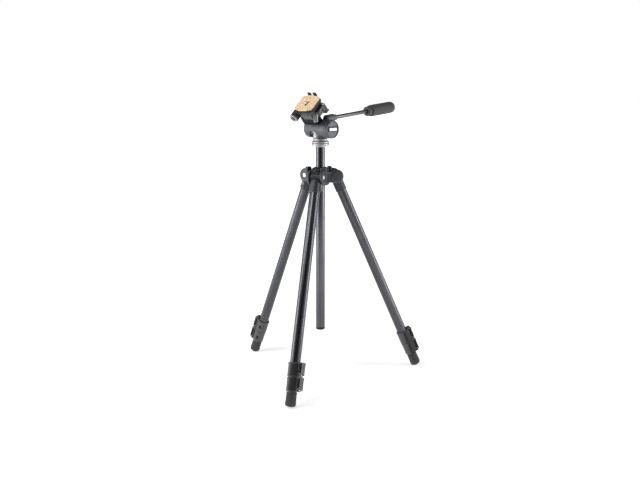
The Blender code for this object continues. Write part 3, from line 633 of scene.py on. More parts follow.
def leg_top():
    """The cast shoulder: a drum across the leg, with a sleeve that holds the upper tube."""
    drum = rod(DRUM_RADIUS, DRUM_NEAR, DRUM_FAR, "Y", segs=24, chamfer=0.8)
    sleeve = turned(
        [
            (0, SLEEVE_END),
            (13.9, SLEEVE_END),
            (14.3, SLEEVE_END + 0.8),
            (14.3, -12.5),
            (12.8, -8.0),
            (9.5, -5.0),
            (0, -4.0),
        ],
        segs=24,
    )
    body = join(drum, sleeve)
    bore = rod(UPPER_TUBE_OD / 2 + TUBE_GAP, SLEEVE_END - 2, -12.6, segs=18)
    pin = rod(3.4, -30, 30, "Y", segs=12)
    ear_room = block(-30, 30, DRUM_FAR + 0.1, 40, -19.0, 30)
    return cut(body, bore, pin, ear_room)


def lock_collar(top, end, outer, upper_bore, lower_bore, step, hinge_z):
    """A lever lock's body: a stepped ring with two ears that hold the lever's trunnions."""
    c = 1.4
    ring = turned(
        [
            (lower_bore / 2, end),
            (outer / 2 - c, end),
            (outer / 2, end + c),
            (outer / 2, top - c),
            (outer / 2 - c, top),
            (upper_bore / 2, top),
            (upper_bore / 2, step),
            (lower_bore / 2, step),
        ]
    )
    half = LEVER_WIDTH / 2 + 0.45
    for side in (-1, 1):
        ear = block(8.5, LEVER_RADIUS + 3.7, min(side * half, side * (half + 2.8)), max(side * half, side * (half + 2.8)), hinge_z - 4.6, hinge_z + 4.6)
        ring = join(ring, ear)
    keep = rod(lower_bore / 2, end - 1, top + 1)
    upper = rod(upper_bore / 2, step, top + 1)
    hole = rod(2.3, -20, 20, "Y", at=(LEVER_RADIUS, 0, hinge_z), segs=10)
    return cut(ring, keep, upper, hole)


def lock_lever():
    """The lever, about its hinge line: a round heel with trunnions and a slightly flared tip."""
    t, w, n = LEVER_THICK / 2, LEVER_WIDTH / 2, LEVER_LENGTH
    outline = [(-t, 0), (t, 0), (t, n * 0.55), (t + 0.9, n * 0.85), (t + 0.6, n - 1.2), (t - 0.8, n), (-t + 1.2, n), (-t, n - 1.4)]
    bm = bmesh.new()
    left = [bm.verts.new((x, -w, z)) for x, z in outline]
    right = [bm.verts.new((x, w, z)) for x, z in outline]
    bm.faces.new(left[::-1])
    bm.faces.new(right)
    for i in range(len(outline)):
        j = (i + 1) % len(outline)
        bm.faces.new((left[i], left[j], right[j], right[i]))
    arm = add_object("shape", bm)
    heel = rod(3.6, -w + 0.05, w - 0.05, "Y", segs=12)
    trunnions = rod(1.95, -w - 2.6, w + 2.6, "Y", segs=8)
    return join(arm, heel, trunnions)


def angle_stop():
    """The sprung tab that sets the leg's angle stop: a flat bar with a thumb lug."""
    bar = block(-5, 5, 14.9, 17.8, -35.5, -19.4, 0.5)
    lug = block(-3.5, 3.5, 16.8, 21.0, -35.3, -31.4, 0.8)
    return join(bar, lug)


def rubber_foot():
    ball, centre = FOOT_BALL, FOOT_CENTRE
    bore = LOWER_TUBE_OD / 2 + TUBE_GAP
    profile = [(bore, FOOT_TOP), (bore, LOWER_TUBE_END - 0.5), (0, LOWER_TUBE_END - 0.5)]
    corner, side = FOOT_CORNER, FOOT_SIDE
    splay = math.radians(LEG_SPLAY)
    base = (ball - corner - (side - corner) * math.sin(splay)) / math.cos(splay) + corner
    dome = [(0, centre - base - 0.8), (3.6, centre - base - 0.5)] + [
        (
            side - corner + corner * math.sin(math.radians(a)),
            centre - base + corner - corner * math.cos(math.radians(a)),
        )
        for a in (0, 24, 48, 70, 90)
    ]
    profile += dome
    low, high, count = centre + 1.5, FOOT_TOP - 3.4, 7
    pitch = (high - low) / count
    for k in range(count):
        z, r = low + k * pitch, side - 0.1 - 0.4 * k / count
        profile += [(r, z + 0.2), (r, z + pitch * 0.66), (r - 0.55, z + pitch * 0.74), (r - 0.55, z + pitch * 0.95)]
    profile += [(side - 0.1, high + 0.3), (side, FOOT_TOP - 1.2), (side - 0.8, FOOT_TOP)]
    return turned(profile, soft=0.2)


def pivot_bolt():
    """The leg's hinge bolt, with a broad domed head."""
    profile = [
        (0, -19.4),
        (2.6, -19.4),
        (3.0, -18.8),
        (3.0, 18.8),
        (6.0, 18.8),
        (6.0, 20.4),
        (5.0, 21.4),
        (3.0, 21.8),
        (0, 21.9),
    ]
    return turned(profile, "Y", segs=16)


def arc_block(inner, outer, start, end, low, high, steps=14):
    """Part of a ring between two angles, in degrees from the lever's side."""
    outline = []
    for k in range(steps + 1):
        a = math.radians(start + (end - start) * k / steps)
        outline.append((outer * math.cos(a), outer * math.sin(a)))
    for k in range(steps, -1, -1):
        a = math.radians(start + (end - start) * k / steps)
        outline.append((inner * math.cos(a), inner * math.sin(a)))
    return prism(outline, low, high)


def collar_shape(top, end, outer, upper_bore, lower_bore, step, hinge_z):
    """The moulded collar: a lip at its top, a hinge lug under the lever, and a window."""
    r = outer / 2
    ring = turned([
        (lower_bore / 2, end), (r - 1.9, end), (r - 0.7, end + 1.4), (r - 0.7, top - 5.6),
        (r, top - 4.8), (r, top - 1.3), (r - 1.2, top), (upper_bore / 2, top),
        (upper_bore / 2, step), (lower_bore / 2, step),
    ], segs=72)
    lug = block(r - 3.0, LEVER_RADIUS, -6.3, 6.3, hinge_z - 1.6, hinge_z + 1.6)
    knuckle = rod(1.6, -6.3, 6.3, "Y", at=(LEVER_RADIUS, 0, hinge_z))
    guard = block(r - 4.0, 20.6, -9.3, 9.3, end + 0.7, hinge_z - 4.2)
    filler = block(r - 4.0, r + 0.9, -6.3, 6.3, hinge_z - 4.5, hinge_z + 1.6)
    shape = join(ring, lug, knuckle, guard, filler)
    keep = rod(lower_bore / 2, end - 1, top + 1)
    upper = rod(upper_bore / 2, step, top + 1)
    window = block(r - 2.1, r + 4, -3.3, 3.3, (top + end) / 2 - 6.0, (top + end) / 2 + 5.0)
    window.data.transform(Matrix.Rotation(math.radians(103), 4, "Z"))
    return cast(cut(shape, keep, upper, window), 0.45, 3, 0.4)


def lever_shape(outer):
    """The flip lever, about its hinge line: a shell that lies round the collar."""
    t, w, n = LEVER_THICK / 2, LEVER_WIDTH / 2, LEVER_LENGTH
    shell = block(-6.7, t, -w, w, -0.4, n, 0.0)
    lip = block(1.0, t + 0.8, -w, w, n - 5.5, n - 0.6, 0.0)
    heel = rod(3.5, -w, w, "Y")
    body = join(shell, lip, heel)
    collar = rod(outer / 2 + 0.5, -8, n + 4, at=(-LEVER_RADIUS, 0, 0))
    space = block(-14, 2.0, -6.9, 6.9, -6, 5.0)
    under = block(-14, 6, -6.9, 6.9, -6, -1.2)
    hollows = [block(-5.2, t - 1.0, min(q * (w - 1.4), q * (w + 3)), max(q * (w - 1.4), q * (w + 3)), 2.0, n - 2.6) for q in (-1, 1)]
    return cast(cut(body, collar, space, under, *hollows), 0.4, 3, 0.4)


for index, (leg_name, leg) in enumerate(zip(LEG_NAMES, LEGS)):
    lever_turn = Matrix.Rotation(math.radians(LEVER_AZIMUTH[index]), 4, "Z")
    piece(leg_name + "_shoulder", cast(leg_top(), 0.55, 4, 0.4), leg, DARK_CAST)
    piece(leg_name + "_pivot_bolt", pivot_bolt(), leg, STEEL)
    piece(leg_name + "_angle_stop", angle_stop(), leg, LOCK_PLASTIC)
    piece(leg_name + "_upper_tube", tube(UPPER_TUBE_OD, UPPER_TUBE_ID, UPPER_TUBE_END, UPPER_TUBE_TOP), leg, FRONT_TUBE_SHADED_COPY if index == 0 else ANODISED)
    piece(leg_name + "_middle_tube", tube(MIDDLE_TUBE_OD, MIDDLE_TUBE_ID, MIDDLE_TUBE_END, MIDDLE_TUBE_TOP), leg, ANODISED)
    piece(leg_name + "_lower_tube", tube(LOWER_TUBE_OD, LOWER_TUBE_ID, LOWER_TUBE_END, LOWER_TUBE_TOP), leg, ANODISED)
    piece(
        leg_name + "_upper_lock",
        collar_shape(
            UPPER_COLLAR_TOP, UPPER_COLLAR_END, UPPER_COLLAR_OD,
            UPPER_TUBE_OD + 2 * TUBE_GAP, MIDDLE_TUBE_OD + 2 * TUBE_GAP,
            UPPER_TUBE_END - 0.5, UPPER_LEVER_Z,
        ),
        leg, LOCK_PLASTIC, turn=lever_turn,
    )
    piece(
        leg_name + "_lower_lock",
        collar_shape(
            LOWER_COLLAR_TOP, LOWER_COLLAR_END, LOWER_COLLAR_OD,
            MIDDLE_TUBE_OD + 2 * TUBE_GAP, LOWER_TUBE_OD + 2 * TUBE_GAP,
            MIDDLE_TUBE_END - 0.5, LOWER_LEVER_Z,
        ),
        leg, LOCK_PLASTIC, turn=lever_turn,
    )
    for label, height in (("_upper_lever", UPPER_LEVER_Z), ("_lower_lever", LOWER_LEVER_Z)):
        hinge = lever_turn @ Vector((LEVER_RADIUS, 0, height))
        upper = label == "_upper_lever"
        outer = UPPER_COLLAR_OD if upper else LOWER_COLLAR_OD
        top, end = (UPPER_COLLAR_TOP, UPPER_COLLAR_END) if upper else (LOWER_COLLAR_TOP, LOWER_COLLAR_END)
        piece(leg_name + label, lever_shape(outer), leg, LOCK_PLASTIC, at=hinge, turn=lever_turn)
        w = LEVER_WIDTH / 2
        # near-black sheets in the lever's two side hollows: partly the lever's dark pads, partly painted shade in the
        # hollows
        for side, q in (("_a", -1), ("_b", 1)):
            inlay = block(-5.0, LEVER_THICK / 2 - 0.9, min(q * (w - 2.0), q * (w - 1.0)), max(q * (w - 2.0), q * (w - 1.0)), 1.9, LEVER_LENGTH - 2.5, 0.3)
            piece(leg_name + label + "_inlay" + side, inlay, leg, LOCK_DARK_AND_PAINTED_SHADE, at=hinge, turn=lever_turn, node=False, body=BODY_OF[leg_name + label])
        lock = leg_name + ("_upper_lock" if upper else "_lower_lock")
        pad = arc_block(outer / 2 - 2.0, outer / 2 + 0.95, -103, -38, end + 1.3, top - 1.6)
        piece(lock + "_panel", cast(pad, 0.4, 3, 0.5), leg, LOCK_PANEL, turn=lever_turn, node=False, body=BODY_OF[lock])
        # a near-black sheet at the floor of the collar's window pocket: painted shade in the hole
        dark = arc_block(outer / 2 - 2.4, outer / 2 - 1.5, 86, 120, (top + end) / 2 - 7.0, (top + end) / 2 + 6.0)
        piece(lock + "_window", dark, leg, LOCK_DARK_AND_PAINTED_SHADE, turn=lever_turn, node=False, body=BODY_OF[lock])
    piece(leg_name + "_rubber_foot", rubber_foot(), leg, RUBBER)


# ---- spider and centre column -----------------------------------------------
def spider():
    """The casting that carries the legs: a hub, and for each leg a lug, a round ear and a boss."""
    body = turned(
        [
            (0, HUB_LOW),
            (HUB_RADIUS - 2, HUB_LOW),
            (HUB_RADIUS, HUB_LOW + 3),
            (HUB_RADIUS, RIM_LOW - 2.5),
            (RIM_RADIUS, RIM_LOW),
            (RIM_RADIUS, HUB_TOP - 1),
            (RIM_RADIUS - 1, HUB_TOP),
            (0, HUB_TOP),
        ],
        segs=32,
    )
    for azimuth in LEG_AZIMUTH:
        out = Matrix.Rotation(math.radians(azimuth), 4, "Z")
        shapes = [
            block(8, PIVOT_RADIUS, 13.9, 20.1, PIVOT_HEIGHT - 12, PIVOT_HEIGHT + 9),
            rod(FAR_EAR_RADIUS, 13.5, 20.6, "Y", at=(PIVOT_RADIUS, 0, PIVOT_HEIGHT), segs=28, chamfer=1.6),
            block(6, PIVOT_RADIUS - 3, -20.2, -16.1, PIVOT_HEIGHT - 17, PIVOT_HEIGHT + 10),
            turned(
                [
                    (0, -21.6),
                    (12.0, -21.2),
                    (16.6, -20.0),
                    (NEAR_EAR_RADIUS, -17.6),
                    (NEAR_EAR_RADIUS, -15.5),
                    (0, -15.5),
                ],
                "Y", at=(PIVOT_RADIUS, 0, PIVOT_HEIGHT - 1.5), segs=28,
            ),
            block(24, 33.2, 14.3, 23.3, 535, 546),
            block(23.4, 33.6, 8.0, 24.0, 541.8, 555.0, 1.8),
        ]
        cutters = [
            rod(3.4, -20.0, 30, "Y", at=(PIVOT_RADIUS, 0, PIVOT_HEIGHT), segs=12),
            rod(6.5, 18.4, 31, "Y", at=(PIVOT_RADIUS, 0, PIVOT_HEIGHT), segs=20),
            rod(2.8, 29.0, 40, "X", at=(0, 14.5, 548.4), segs=10),
        ]
        for shape in shapes + cutters:
            shape.data.transform(out)
        body = join(body, *shapes)
        body = cut(body, *cutters)
    out = Matrix.Rotation(math.radians(KNOB_AZIMUTH), 4, "Z")
    boss = rod(9.5, 15, 33.6, "X", at=(0, 0, KNOB_HEIGHT), segs=16)
    hole = rod(4.5, 10, 40, "X", at=(0, 0, KNOB_HEIGHT), segs=12)
    for shape in (boss, hole):
        shape.data.transform(out)
    body = join(body, boss)
    bore = rod(BUSH_OD / 2 + 0.35, 400, 600, segs=24)
    dome_room = rod(BUSH_RIM + 0.6, HUB_TOP + 0.02, 590, segs=24)
    return cut(body, hole, bore, dome_room)


def column_bushing():
    low = HUB_LOW + 0.5
    profile = [
        (BUSH_BORE / 2, low),
        (BUSH_OD / 2, low),
        (BUSH_OD / 2, HUB_TOP + 0.35),
        (BUSH_RIM, HUB_TOP + 0.35),
        (BUSH_RIM, HUB_TOP + 3.0),
        (BUSH_RIM - 1.2, HUB_TOP + 6.5),
        (BUSH_RIM - 5.0, HUB_TOP + 10.6),
        (BUSH_BORE / 2 + 0.4, HUB_TOP + 12.4),
        (BUSH_BORE / 2, HUB_TOP + 12.0),
    ]
    return turned(profile, segs=24)


def lock_knob():
    """The column's lock screw with its lobed knob, about its own axis along X."""
    bm = bmesh.new()
    count, lobes = 36, 6
    rings = []
    for x, scale in ((0.0, 0.93), (1.2, 1.0), (13.0, 1.0), (15.0, 0.9)):
        ring = []
        for i in range(count):
            a = 2 * math.pi * i / count
            r = (13.2 + 1.5 * math.cos(lobes * a)) * scale
            ring.append(bm.verts.new((34.5 + x, r * math.cos(a), r * math.sin(a))))
        rings.append(ring)
    for low, high in zip(rings, rings[1:]):
        for i in range(count):
            j = (i + 1) % count
            bm.faces.new((low[i], low[j], high[j], high[i]))
    bm.faces.new(rings[0][::-1])
    bm.faces.new(rings[-1])
    knob = add_object("shape", bm)
    return join(knob, rod(4.0, 15.6, 37.0, "X", segs=12))


piece("spider", cast(spider(), 0.7, 4, 0.4), ASSEMBLY, DARK_CAST)
piece("column_bushing", column_bushing(), ASSEMBLY, BLACK_PLASTIC)
piece(
    "column_lock_knob", cast(lock_knob(), 0.5, 4, 0.5), ASSEMBLY, BLACK_PLASTIC,
    at=(0, 0, KNOB_HEIGHT), turn=Matrix.Rotation(math.radians(KNOB_AZIMUTH), 4, "Z"),
)
piece("center_column", tube(COLUMN_OD, COLUMN_ID, COLUMN_LOW, COLUMN_TOP), ASSEMBLY, COLUMN_TUBE)
piece(
    "column_end_cap",
    turned([
        (0, 121.5), (9.0, 121.5), (11.2, 122.6), (12.0, 124.6), (12.0, COLUMN_LOW - 0.3),
        (10.0, COLUMN_LOW - 0.3), (10.0, 143.0), (0, 143.0),
    ]),
    ASSEMBLY, BLACK_PLASTIC,
)
piece(
    "column_top_disc",
    turned([
        (0, 582.0), (10.0, 582.0), (10.0, COLUMN_TOP + 0.3), (13.4, COLUMN_TOP + 0.3),
        (13.4, DISC_LOW), (DISC_OD / 2 - 0.8, DISC_LOW), (DISC_OD / 2, DISC_LOW + 0.8),
        (DISC_OD / 2, DISC_TOP - 0.6), (DISC_OD / 2 - 0.6, DISC_TOP), (5.1, DISC_TOP),
        (5.1, 590.0), (0, 590.0),
    ], segs=28),
    ASSEMBLY, BRIGHT_ALLOY,
)
piece("head_stud", rod(4.76, 591.0, 626.5, segs=14, chamfer=0.6), ASSEMBLY, STEEL)


# ---- head: the pan base and what stays with it --------------------------------
def pan_base():
    """The bright neck: a disc, a round neck, and a post that carries the tilt hub."""
    z = -TILT_HEIGHT
    neck = turned(
        [
            (0, PAN_LOW + z),
            (PAN_OD / 2 - 0.6, PAN_LOW + z),
            (PAN_OD / 2, PAN_LOW + 0.6 + z),
            (PAN_OD / 2, PAN_TOP - 1.0 + z),
            (PAN_OD / 2 - 1.4, PAN_TOP + z),
            (NECK_OD / 2 + 0.9, PAN_TOP + 0.4 + z),
            (NECK_OD / 2, PAN_TOP + 1.6 + z),
            (NECK_OD / 2, NECK_TOP - 1.2 + z),
            (NECK_OD / 2 - 1.2, NECK_TOP + z),
            (0, NECK_TOP + z),
        ],
        segs=28,
    )
    post = rod(POST_RADIUS, PAN_TOP + 2 + z, -2.0, at=(POST_X, 0, 0), segs=24)
    hub = rod(16.0, POST_X - 13.1, POST_X + 13.1, "X", segs=24)
    body = join(neck, post, hub)
    axle = rod(5.3, -60, 60, "X", segs=14)
    stud = rod(5.1, PAN_LOW - 5 + z, 627.0 + z, segs=14)
    return cut(body, axle, stud)


def end_cap():
    """The barrel's right end, fixed to the axle, with a channel across its face."""
    x0 = BARREL_RIGHT + 0.4
    cap = turned(
        [
            (5.2, 25.0),
            (CAVITY_RADIUS - 0.5, 25.0),
            (CAVITY_RADIUS - 0.5, x0),
            (BARREL_RADIUS - 1.4, x0),
            (BARREL_RADIUS, x0 + 1.1),
            (BARREL_RADIUS, 38.3),
            (BARREL_RADIUS - 2.0, 38.8),
            (BARREL_RADIUS - 2.0, 40.0),
            (BARREL_RADIUS - 0.3, 40.6),
            (BARREL_RADIUS - 0.3, CAP_RIGHT - 1.8),
            (BARREL_RADIUS - 2.1, CAP_RIGHT),
            (0, CAP_RIGHT),
            (0, 37.0),
            (5.2, 37.0),
        ],
        "X",
        segs=32,
    )
    channel = block(CAP_RIGHT - 2.6, CAP_RIGHT + 5, -19.5, 19.5, -5.0, 7.6, 0.5)
    edge = BARREL_RADIUS - 3.0
    ring = turned([(edge - 1.1, CAP_RIGHT - 1.3), (edge, CAP_RIGHT - 1.3), (edge, CAP_RIGHT + 4), (edge - 1.1, CAP_RIGHT + 4)], "X")
    pocket = rod(edge - 0.4, CAP_RIGHT - 2.8, CAP_RIGHT + 4, "X")
    pocket = cut(pocket, rod(edge - 0.2, CAP_RIGHT - 5, CAP_RIGHT + 6, "X", at=(0, -4.6, 0)))
    return cast(cut(cap, channel, ring, pocket), 0.45, 2, 0.5)


piece("pan_base", pan_base(), PAN, BRIGHT_ALLOY)
piece("tilt_axle", rod(5.0, -37.4, 36.5, "X", segs=14, chamfer=0.5), PAN, STEEL)
piece("barrel_end_cap", end_cap(), PAN, CAST_PAINT)
# a near-black sheet on the floor of the cap's channel: painted shade behind the badge
piece(
    "cap_channel_floor", block(CAP_RIGHT - 3.4, CAP_RIGHT - 2.35, -19.2, 19.2, -4.7, 7.3, 0.2),
    PAN, RECESS_PAINTED_SHADE, node=False, body=BODY_OF["barrel_end_cap"],
)
piece(
    "badge_plate",
    block(CAP_RIGHT - 2.2, CAP_RIGHT - 1.2, -12.0, 15.0, -3.7, 3.7, 0.25),
    PAN, PALE_PLATE,
)


# ---- head: the tilting barrel -------------------------------------------------
HANDLE_TURN = Matrix.Rotation(math.radians(-HANDLE_DROP), 4, "X")
HANDLE_POINT = HANDLE_TURN @ Vector((0, 0, HANDLE_OFFSET))
HANDLE_MATRIX = Matrix.Translation((HANDLE_X, HANDLE_POINT.y, HANDLE_POINT.z)) @ HANDLE_TURN


def neck_slot():
    """What the post sweeps through the barrel's wall as the head tilts: a slot with round ends."""
    reach = 60.0
    start, stop = TILT_BACK, TILT_FORWARD
    steps = 10
    fan = [(0.0, 0.0)]
    for k in range(steps + 1):
        a = math.radians(start + (stop - start) * k / steps)
        fan.append((-reach * math.sin(a), -reach * math.cos(a)))
    bm = bmesh.new()
    near = [bm.verts.new((POST_X - SLOT_RADIUS, y, z)) for y, z in fan]
    away = [bm.verts.new((POST_X + SLOT_RADIUS, y, z)) for y, z in fan]
    bm.faces.new(near)
    bm.faces.new(away[::-1])
    for i in range(len(fan)):
        j = (i + 1) % len(fan)
        bm.faces.new((near[i], near[j], away[j], away[i]))
    shapes = [add_object("shape", bm)]
    for angle in (start, stop):
        end = rod(SLOT_RADIUS - 0.02, -reach + 1, 0, at=(POST_X, 0, 0), segs=28)
        end.data.transform(Matrix.Rotation(math.radians(-angle), 4, "X"))
        shapes.append(end)
    return shapes


def tilt_barrel():
    r = BARREL_RADIUS
    left, right = BARREL_LEFT, BARREL_RIGHT
    body = turned(
        [
            (0, left),
            (r - 6.0, left),
            (r - 2.9, left + 0.9),
            (r - 0.9, left + 2.9),
            (r, left + 6.0),
            (r, right - 0.8),
            (r - 0.8, right),
            (0, right),
        ],
        "X",
        segs=40,
    )
    waist = block(-36.5, 13, -9, 12, 14, 42)
    saddle = block(-15.5, 19, -17, 17, 38, 68.3, 2.0)
    saddle = cut(saddle, block(-20, 25, -30, -9.0, 30, 49.5))
    arm = block(-36.0, 0, -7.6, 16.6, 40.4, 66.0)
    hub = rod(ROLL_RADIUS, -7.9, 16.8, "Y", at=(ROLL_X, 0, ROLL_Z), segs=24)
    stem = rod(10.0, 0, 28.0, "Y", segs=24, chamfer=1.0)
    web = block(-8.0, 8.0, -3, 25.5, -21, 0)
    stem.data.transform(HANDLE_MATRIX)
    web.data.transform(HANDLE_MATRIX)
    body = join(body, waist, saddle, arm, hub, web, stem)
    cavity = rod(CAVITY_RADIUS, -34, right + 5, "X", segs=28)
    axle = rod(5.3, -38, 0, "X", segs=14)
    thread = rod(4.5, 4.0, 40, "Y", segs=12)
    thread.data.transform(HANDLE_MATRIX)
    roll = rod(4.4, -30, 30, "Y", at=(ROLL_X, 0, ROLL_Z), segs=12)
    pinch = rod(3.4, 8.0, 40, "X", at=(0, -5.2, 64.0), segs=10)
    return cut(body, cavity, axle, *neck_slot(), thread, roll, pinch)


def barrel_shape():
    """The barrel casting, with its waist painted near black as painted shade for the deep recess between barrel and
    saddle.
    """
    shape = cast(tilt_barrel(), 0.6, 4, 0.4)
    mesh = shape.data
    mesh.materials.clear()
    mesh.materials.append(CAST_PAINT)
    mesh.materials.append(RECESS_PAINTED_SHADE)
    # the waist faces above the barrel and left of the handle take the near-black painted shade
    slot = [0] * len(mesh.polygons)
    for face in mesh.polygons:
        x, y, z = face.center
        if 9.0 < z < 49.2 and math.hypot(y, z) > BARREL_RADIUS + 0.3 and x < 19.5 and y > -12.0:
            slot[face.index] = 1
    mesh.polygons.foreach_set("material_index", slot)
    shape["materials_set"] = True
    return shape


piece("tilt_barrel", barrel_shape(), TILT, CAST_PAINT)


def roll_axle():
    """The side-tilt pin with its broad bright face."""
    profile = [
        (0, 16.5),
        (3.6, 16.5),
        (4.0, 16.0),
        (4.0, -30.8),
        (10.4, -30.8),
        (10.4, -32.5),
        (9.4, -33.4),
        (6.6, -33.4),
        (6.0, -32.1),
        (0, -32.1),
    ]
    return turned(profile[::-1], "Y", segs=24)


def roll_lock_lever():
    """The ribbed thumb lever that pinches the side-tilt hub, about its screw along X."""
    down = Matrix.Rotation(math.radians(-TILT_REST), 4, "X")
    arm = block(22.4, 33.6, -3.6, 3.0, -25.0, 3.0, 1.4)
    ribs = [block(23.2 + 2.5 * k, 24.6 + 2.5 * k, -4.5, -2.0, -22.0, 1.5) for k in range(4)]
    shank = rod(3.0, 9.0, 26.0, "X", segs=16)
    body = join(arm, *ribs)
    body.data.transform(down)
    return join(body, shank)


def axle_shape():
    """The side-tilt pin: a bright rim round a darker slotted face."""
    shape = cut(roll_axle(), block(-1.1, 1.1, -40, -31.0, -5.6, 5.6))
    mesh = shape.data
    mesh.materials.clear()
    mesh.materials.append(BRIGHT_ALLOY)
    mesh.materials.append(LEVER_ALLOY)
    for face in mesh.polygons:
        x, y, z = face.center
        face.material_index = 1 if math.hypot(x, z) < 6.7 and y < -31 else 0
    shape["materials_set"] = True
    return shape


piece("roll_axle", axle_shape(), TILT, BRIGHT_ALLOY, at=(ROLL_X, 0, ROLL_Z))
piece("roll_lock_lever", cast(roll_lock_lever(), 0.35, 2, 0.5), TILT, LEVER_ALLOY, at=(0, -5.2, 64.0))


# ---- head: the handle ---------------------------------------------------------
HANDLE = frame("handle_frame", TILT, HANDLE_MATRIX)

piece(
    "handle_rod",
    turned([
        (0, 5.0), (4.0, 5.0), (4.0, 28.4), (ROD_OD / 2, 28.4), (ROD_OD / 2, 196.0), (0, 196.0),
    ], "Y", segs=18),
    HANDLE, DARK_METAL,
)
piece(
    "handle_collar",
    turned([
        (ROD_OD / 2 + 0.3, 28.5), (7.2, 28.5), (7.8, 29.3), (7.8, 37.2), (6.8, 38.4), (ROD_OD / 2 + 0.3, 38.4),
    ], "Y", segs=18),
    HANDLE, LOCK_PLASTIC,
)


def grip():
    half, tail, bore = GRIP_OD / 2, HANDLE_END, ROD_OD / 2 + 0.3
    profile = [
        (bore, 161.0),
        (11.0, 161.0),
        (12.8, 162.6),
        (12.9, 170.4),
        (11.0, 171.8),
        (11.0, 174.6),
        (half - 0.9, 175.8),
        (half - 0.2, 178.0),
        (half, 186.2),
        (half, 257.0),
        (half - 0.6, 263.5),
        (half - 2.6, 267.4),
        (half - 6.0, tail - 0.2),
        (0, tail),
        (0, 197.0),
        (bore, 197.0),
    ]
    for k in range(len(profile) - 1, 0, -1):
        (r0, s0), (r1, s1) = profile[k - 1], profile[k]
        if s0 > 186 and s1 <= 257.0 and s1 - s0 > 6:
            for j in range(int((s1 - s0) / 3), 0, -1):
                t = j / (int((s1 - s0) / 3) + 1)
                profile.insert(k, (r0 + t * (r1 - r0), s0 + t * (s1 - s0)))
    shape = turned(profile, "Y", segs=120)
    for vertex in shape.data.vertices:
        x, y, z = vertex.co
        radius = math.hypot(x, z)
        if y < 177 or y > 262 or radius < half - 3:
            continue
        fade = min(1.0, (y - 177) / 5, (262 - y) / 40)
        dip = 0.9 * fade * max(0.0, math.cos(7 * math.atan2(z, x))) ** 10
        vertex.co.x, vertex.co.z = x * (1 - dip / radius), z * (1 - dip / radius)
    return shape


piece("handle_grip", grip(), HANDLE, GRIP)


# ---- head: the platform --------------------------------------------------------
def shifted(shape):
    """Moves a shape drawn in the tilt frame into the roll frame."""
    shape.data.transform(Matrix.Translation((-ROLL_X, 0, -ROLL_Z)))
    return shape


def platform_table():
    plate = prism(bowed_outline(TABLE_WIDTH, PLATE_DEPTH - 1, 3.0, 3.0, 5.0), TABLE_LOW, TABLE_TOP, at=(TABLE_X, 0, 0))
    ear = rod(ROLL_RADIUS, -30.4, -8.4, "Y", at=(ROLL_X, 0, ROLL_Z), segs=24)
    web = block(ROLL_X, -8, -20.5, -8.7, TABLE_LOW + 0.2, TABLE_TOP - 2.7)
    riser = block(27.8, 34.6, 8.2, 19.8, 50.0, 71.0)
    tongue = block(27.2, 47.8, 7.6, 20.4, 47.6, 53.3, 1.2)
    body = join(plate, ear, web, riser, tongue)
    pin = rod(4.5, -60, 60, "Y", at=(ROLL_X, 0, ROLL_Z), segs=14)
    hinge = rod(2.8, 40, 68, at=(LEVER_X, 14, 0), segs=10)
    return cut(body, pin, hinge)


def release_lever():
    """The quick-release lever beside the table, about its pin."""
    arm = prism(bowed_outline(7.8, 31.5, 0.0, 0.0, 3.0), 59.0, 73.0, at=(LEVER_X - 0.5, 1.25, 0))
    boss = rod(5.2, 53.8, 73.4, at=(LEVER_X, 14, 0), segs=18)
    thumb = rod(4.8, 60.2, 71.8, at=(LEVER_X - 0.6, -10.0, 0), segs=16)
    body = join(arm, boss, thumb)
    pocket = rod(3.8, LEVER_X + 1.2, 60, "X", at=(0, 2.4, 66.0), segs=14)
    hole = rod(2.9, 40, 90, at=(LEVER_X, 14, 0), segs=12)
    return cut(body, pocket, hole)


def skewed(outline, width):
    """The plate's outline: its back corner on the handle's side is drawn in."""
    return [(x, y - (4.6 * (0.5 + x / width) if y > 12 else 0.0)) for x, y in outline]


def quick_plate():
    plate = prism(skewed(bowed_outline(PLATE_WIDTH, PLATE_DEPTH + 4.6, BOW_BACK - 4.6, BOW_FRONT, 5.0, 6), PLATE_WIDTH), PLATE_LOW, PLATE_TOP, at=(PLATE_X, 2.3, 0))
    lugs = [
        block(LUG_X + x - 4.8, LUG_X + x + 4.8, 31.7, 35.6, 82.0, 93.4, 0.9) for x in (-9.0, 9.0)
    ]
    heels = [block(LUG_X + x - 4.5, LUG_X + x + 4.5, 24.0, 34.6, 82.4, 86.4) for x in (-9.0, 9.0)]
    body = join(plate, *heels, *lugs)
    slot = prism(slot_outline(15.0, 7.4, (PLATE_X, 0)), 70, 100)
    pocket = prism(slot_outline(24.0, 16.4, (PLATE_X, 0)), 70, 84.4)
    return cut(body, slot, pocket)


def cork_pad():
    pad = prism(skewed(bowed_outline(PLATE_WIDTH - 2.4, PLATE_DEPTH + 1.8, BOW_BACK - 6.2, BOW_FRONT - 0.2, 4.4, 6), PLATE_WIDTH), CORK_LOW, CORK_TOP, at=(PLATE_X, 2.3, 0))
    return cut(pad, prism(slot_outline(15.6, 8.0, (PLATE_X, 0)), 70, 100))


def camera_screw():
    half = SCREW_OD / 2
    return turned(
        [
            (0, 80.8), (7.2, 80.8), (7.8, 81.4), (7.8, 83.2), (7.2, 83.9), (half, 83.9),
            (half, 93.6), (half - 0.9, 94.6), (0, 94.6),
        ],
        at=(PLATE_X, 0, 0), segs=18,
    )


piece("platform_table", cast(shifted(platform_table()), 0.5, 3, 0.4), ROLL, DARK_CAST)
HINGE = Vector((LEVER_X - ROLL_X, 14.0, 66.0 - ROLL_Z))


def about(shape, centre):
    shape.data.transform(Matrix.Translation(-centre))
    return shape


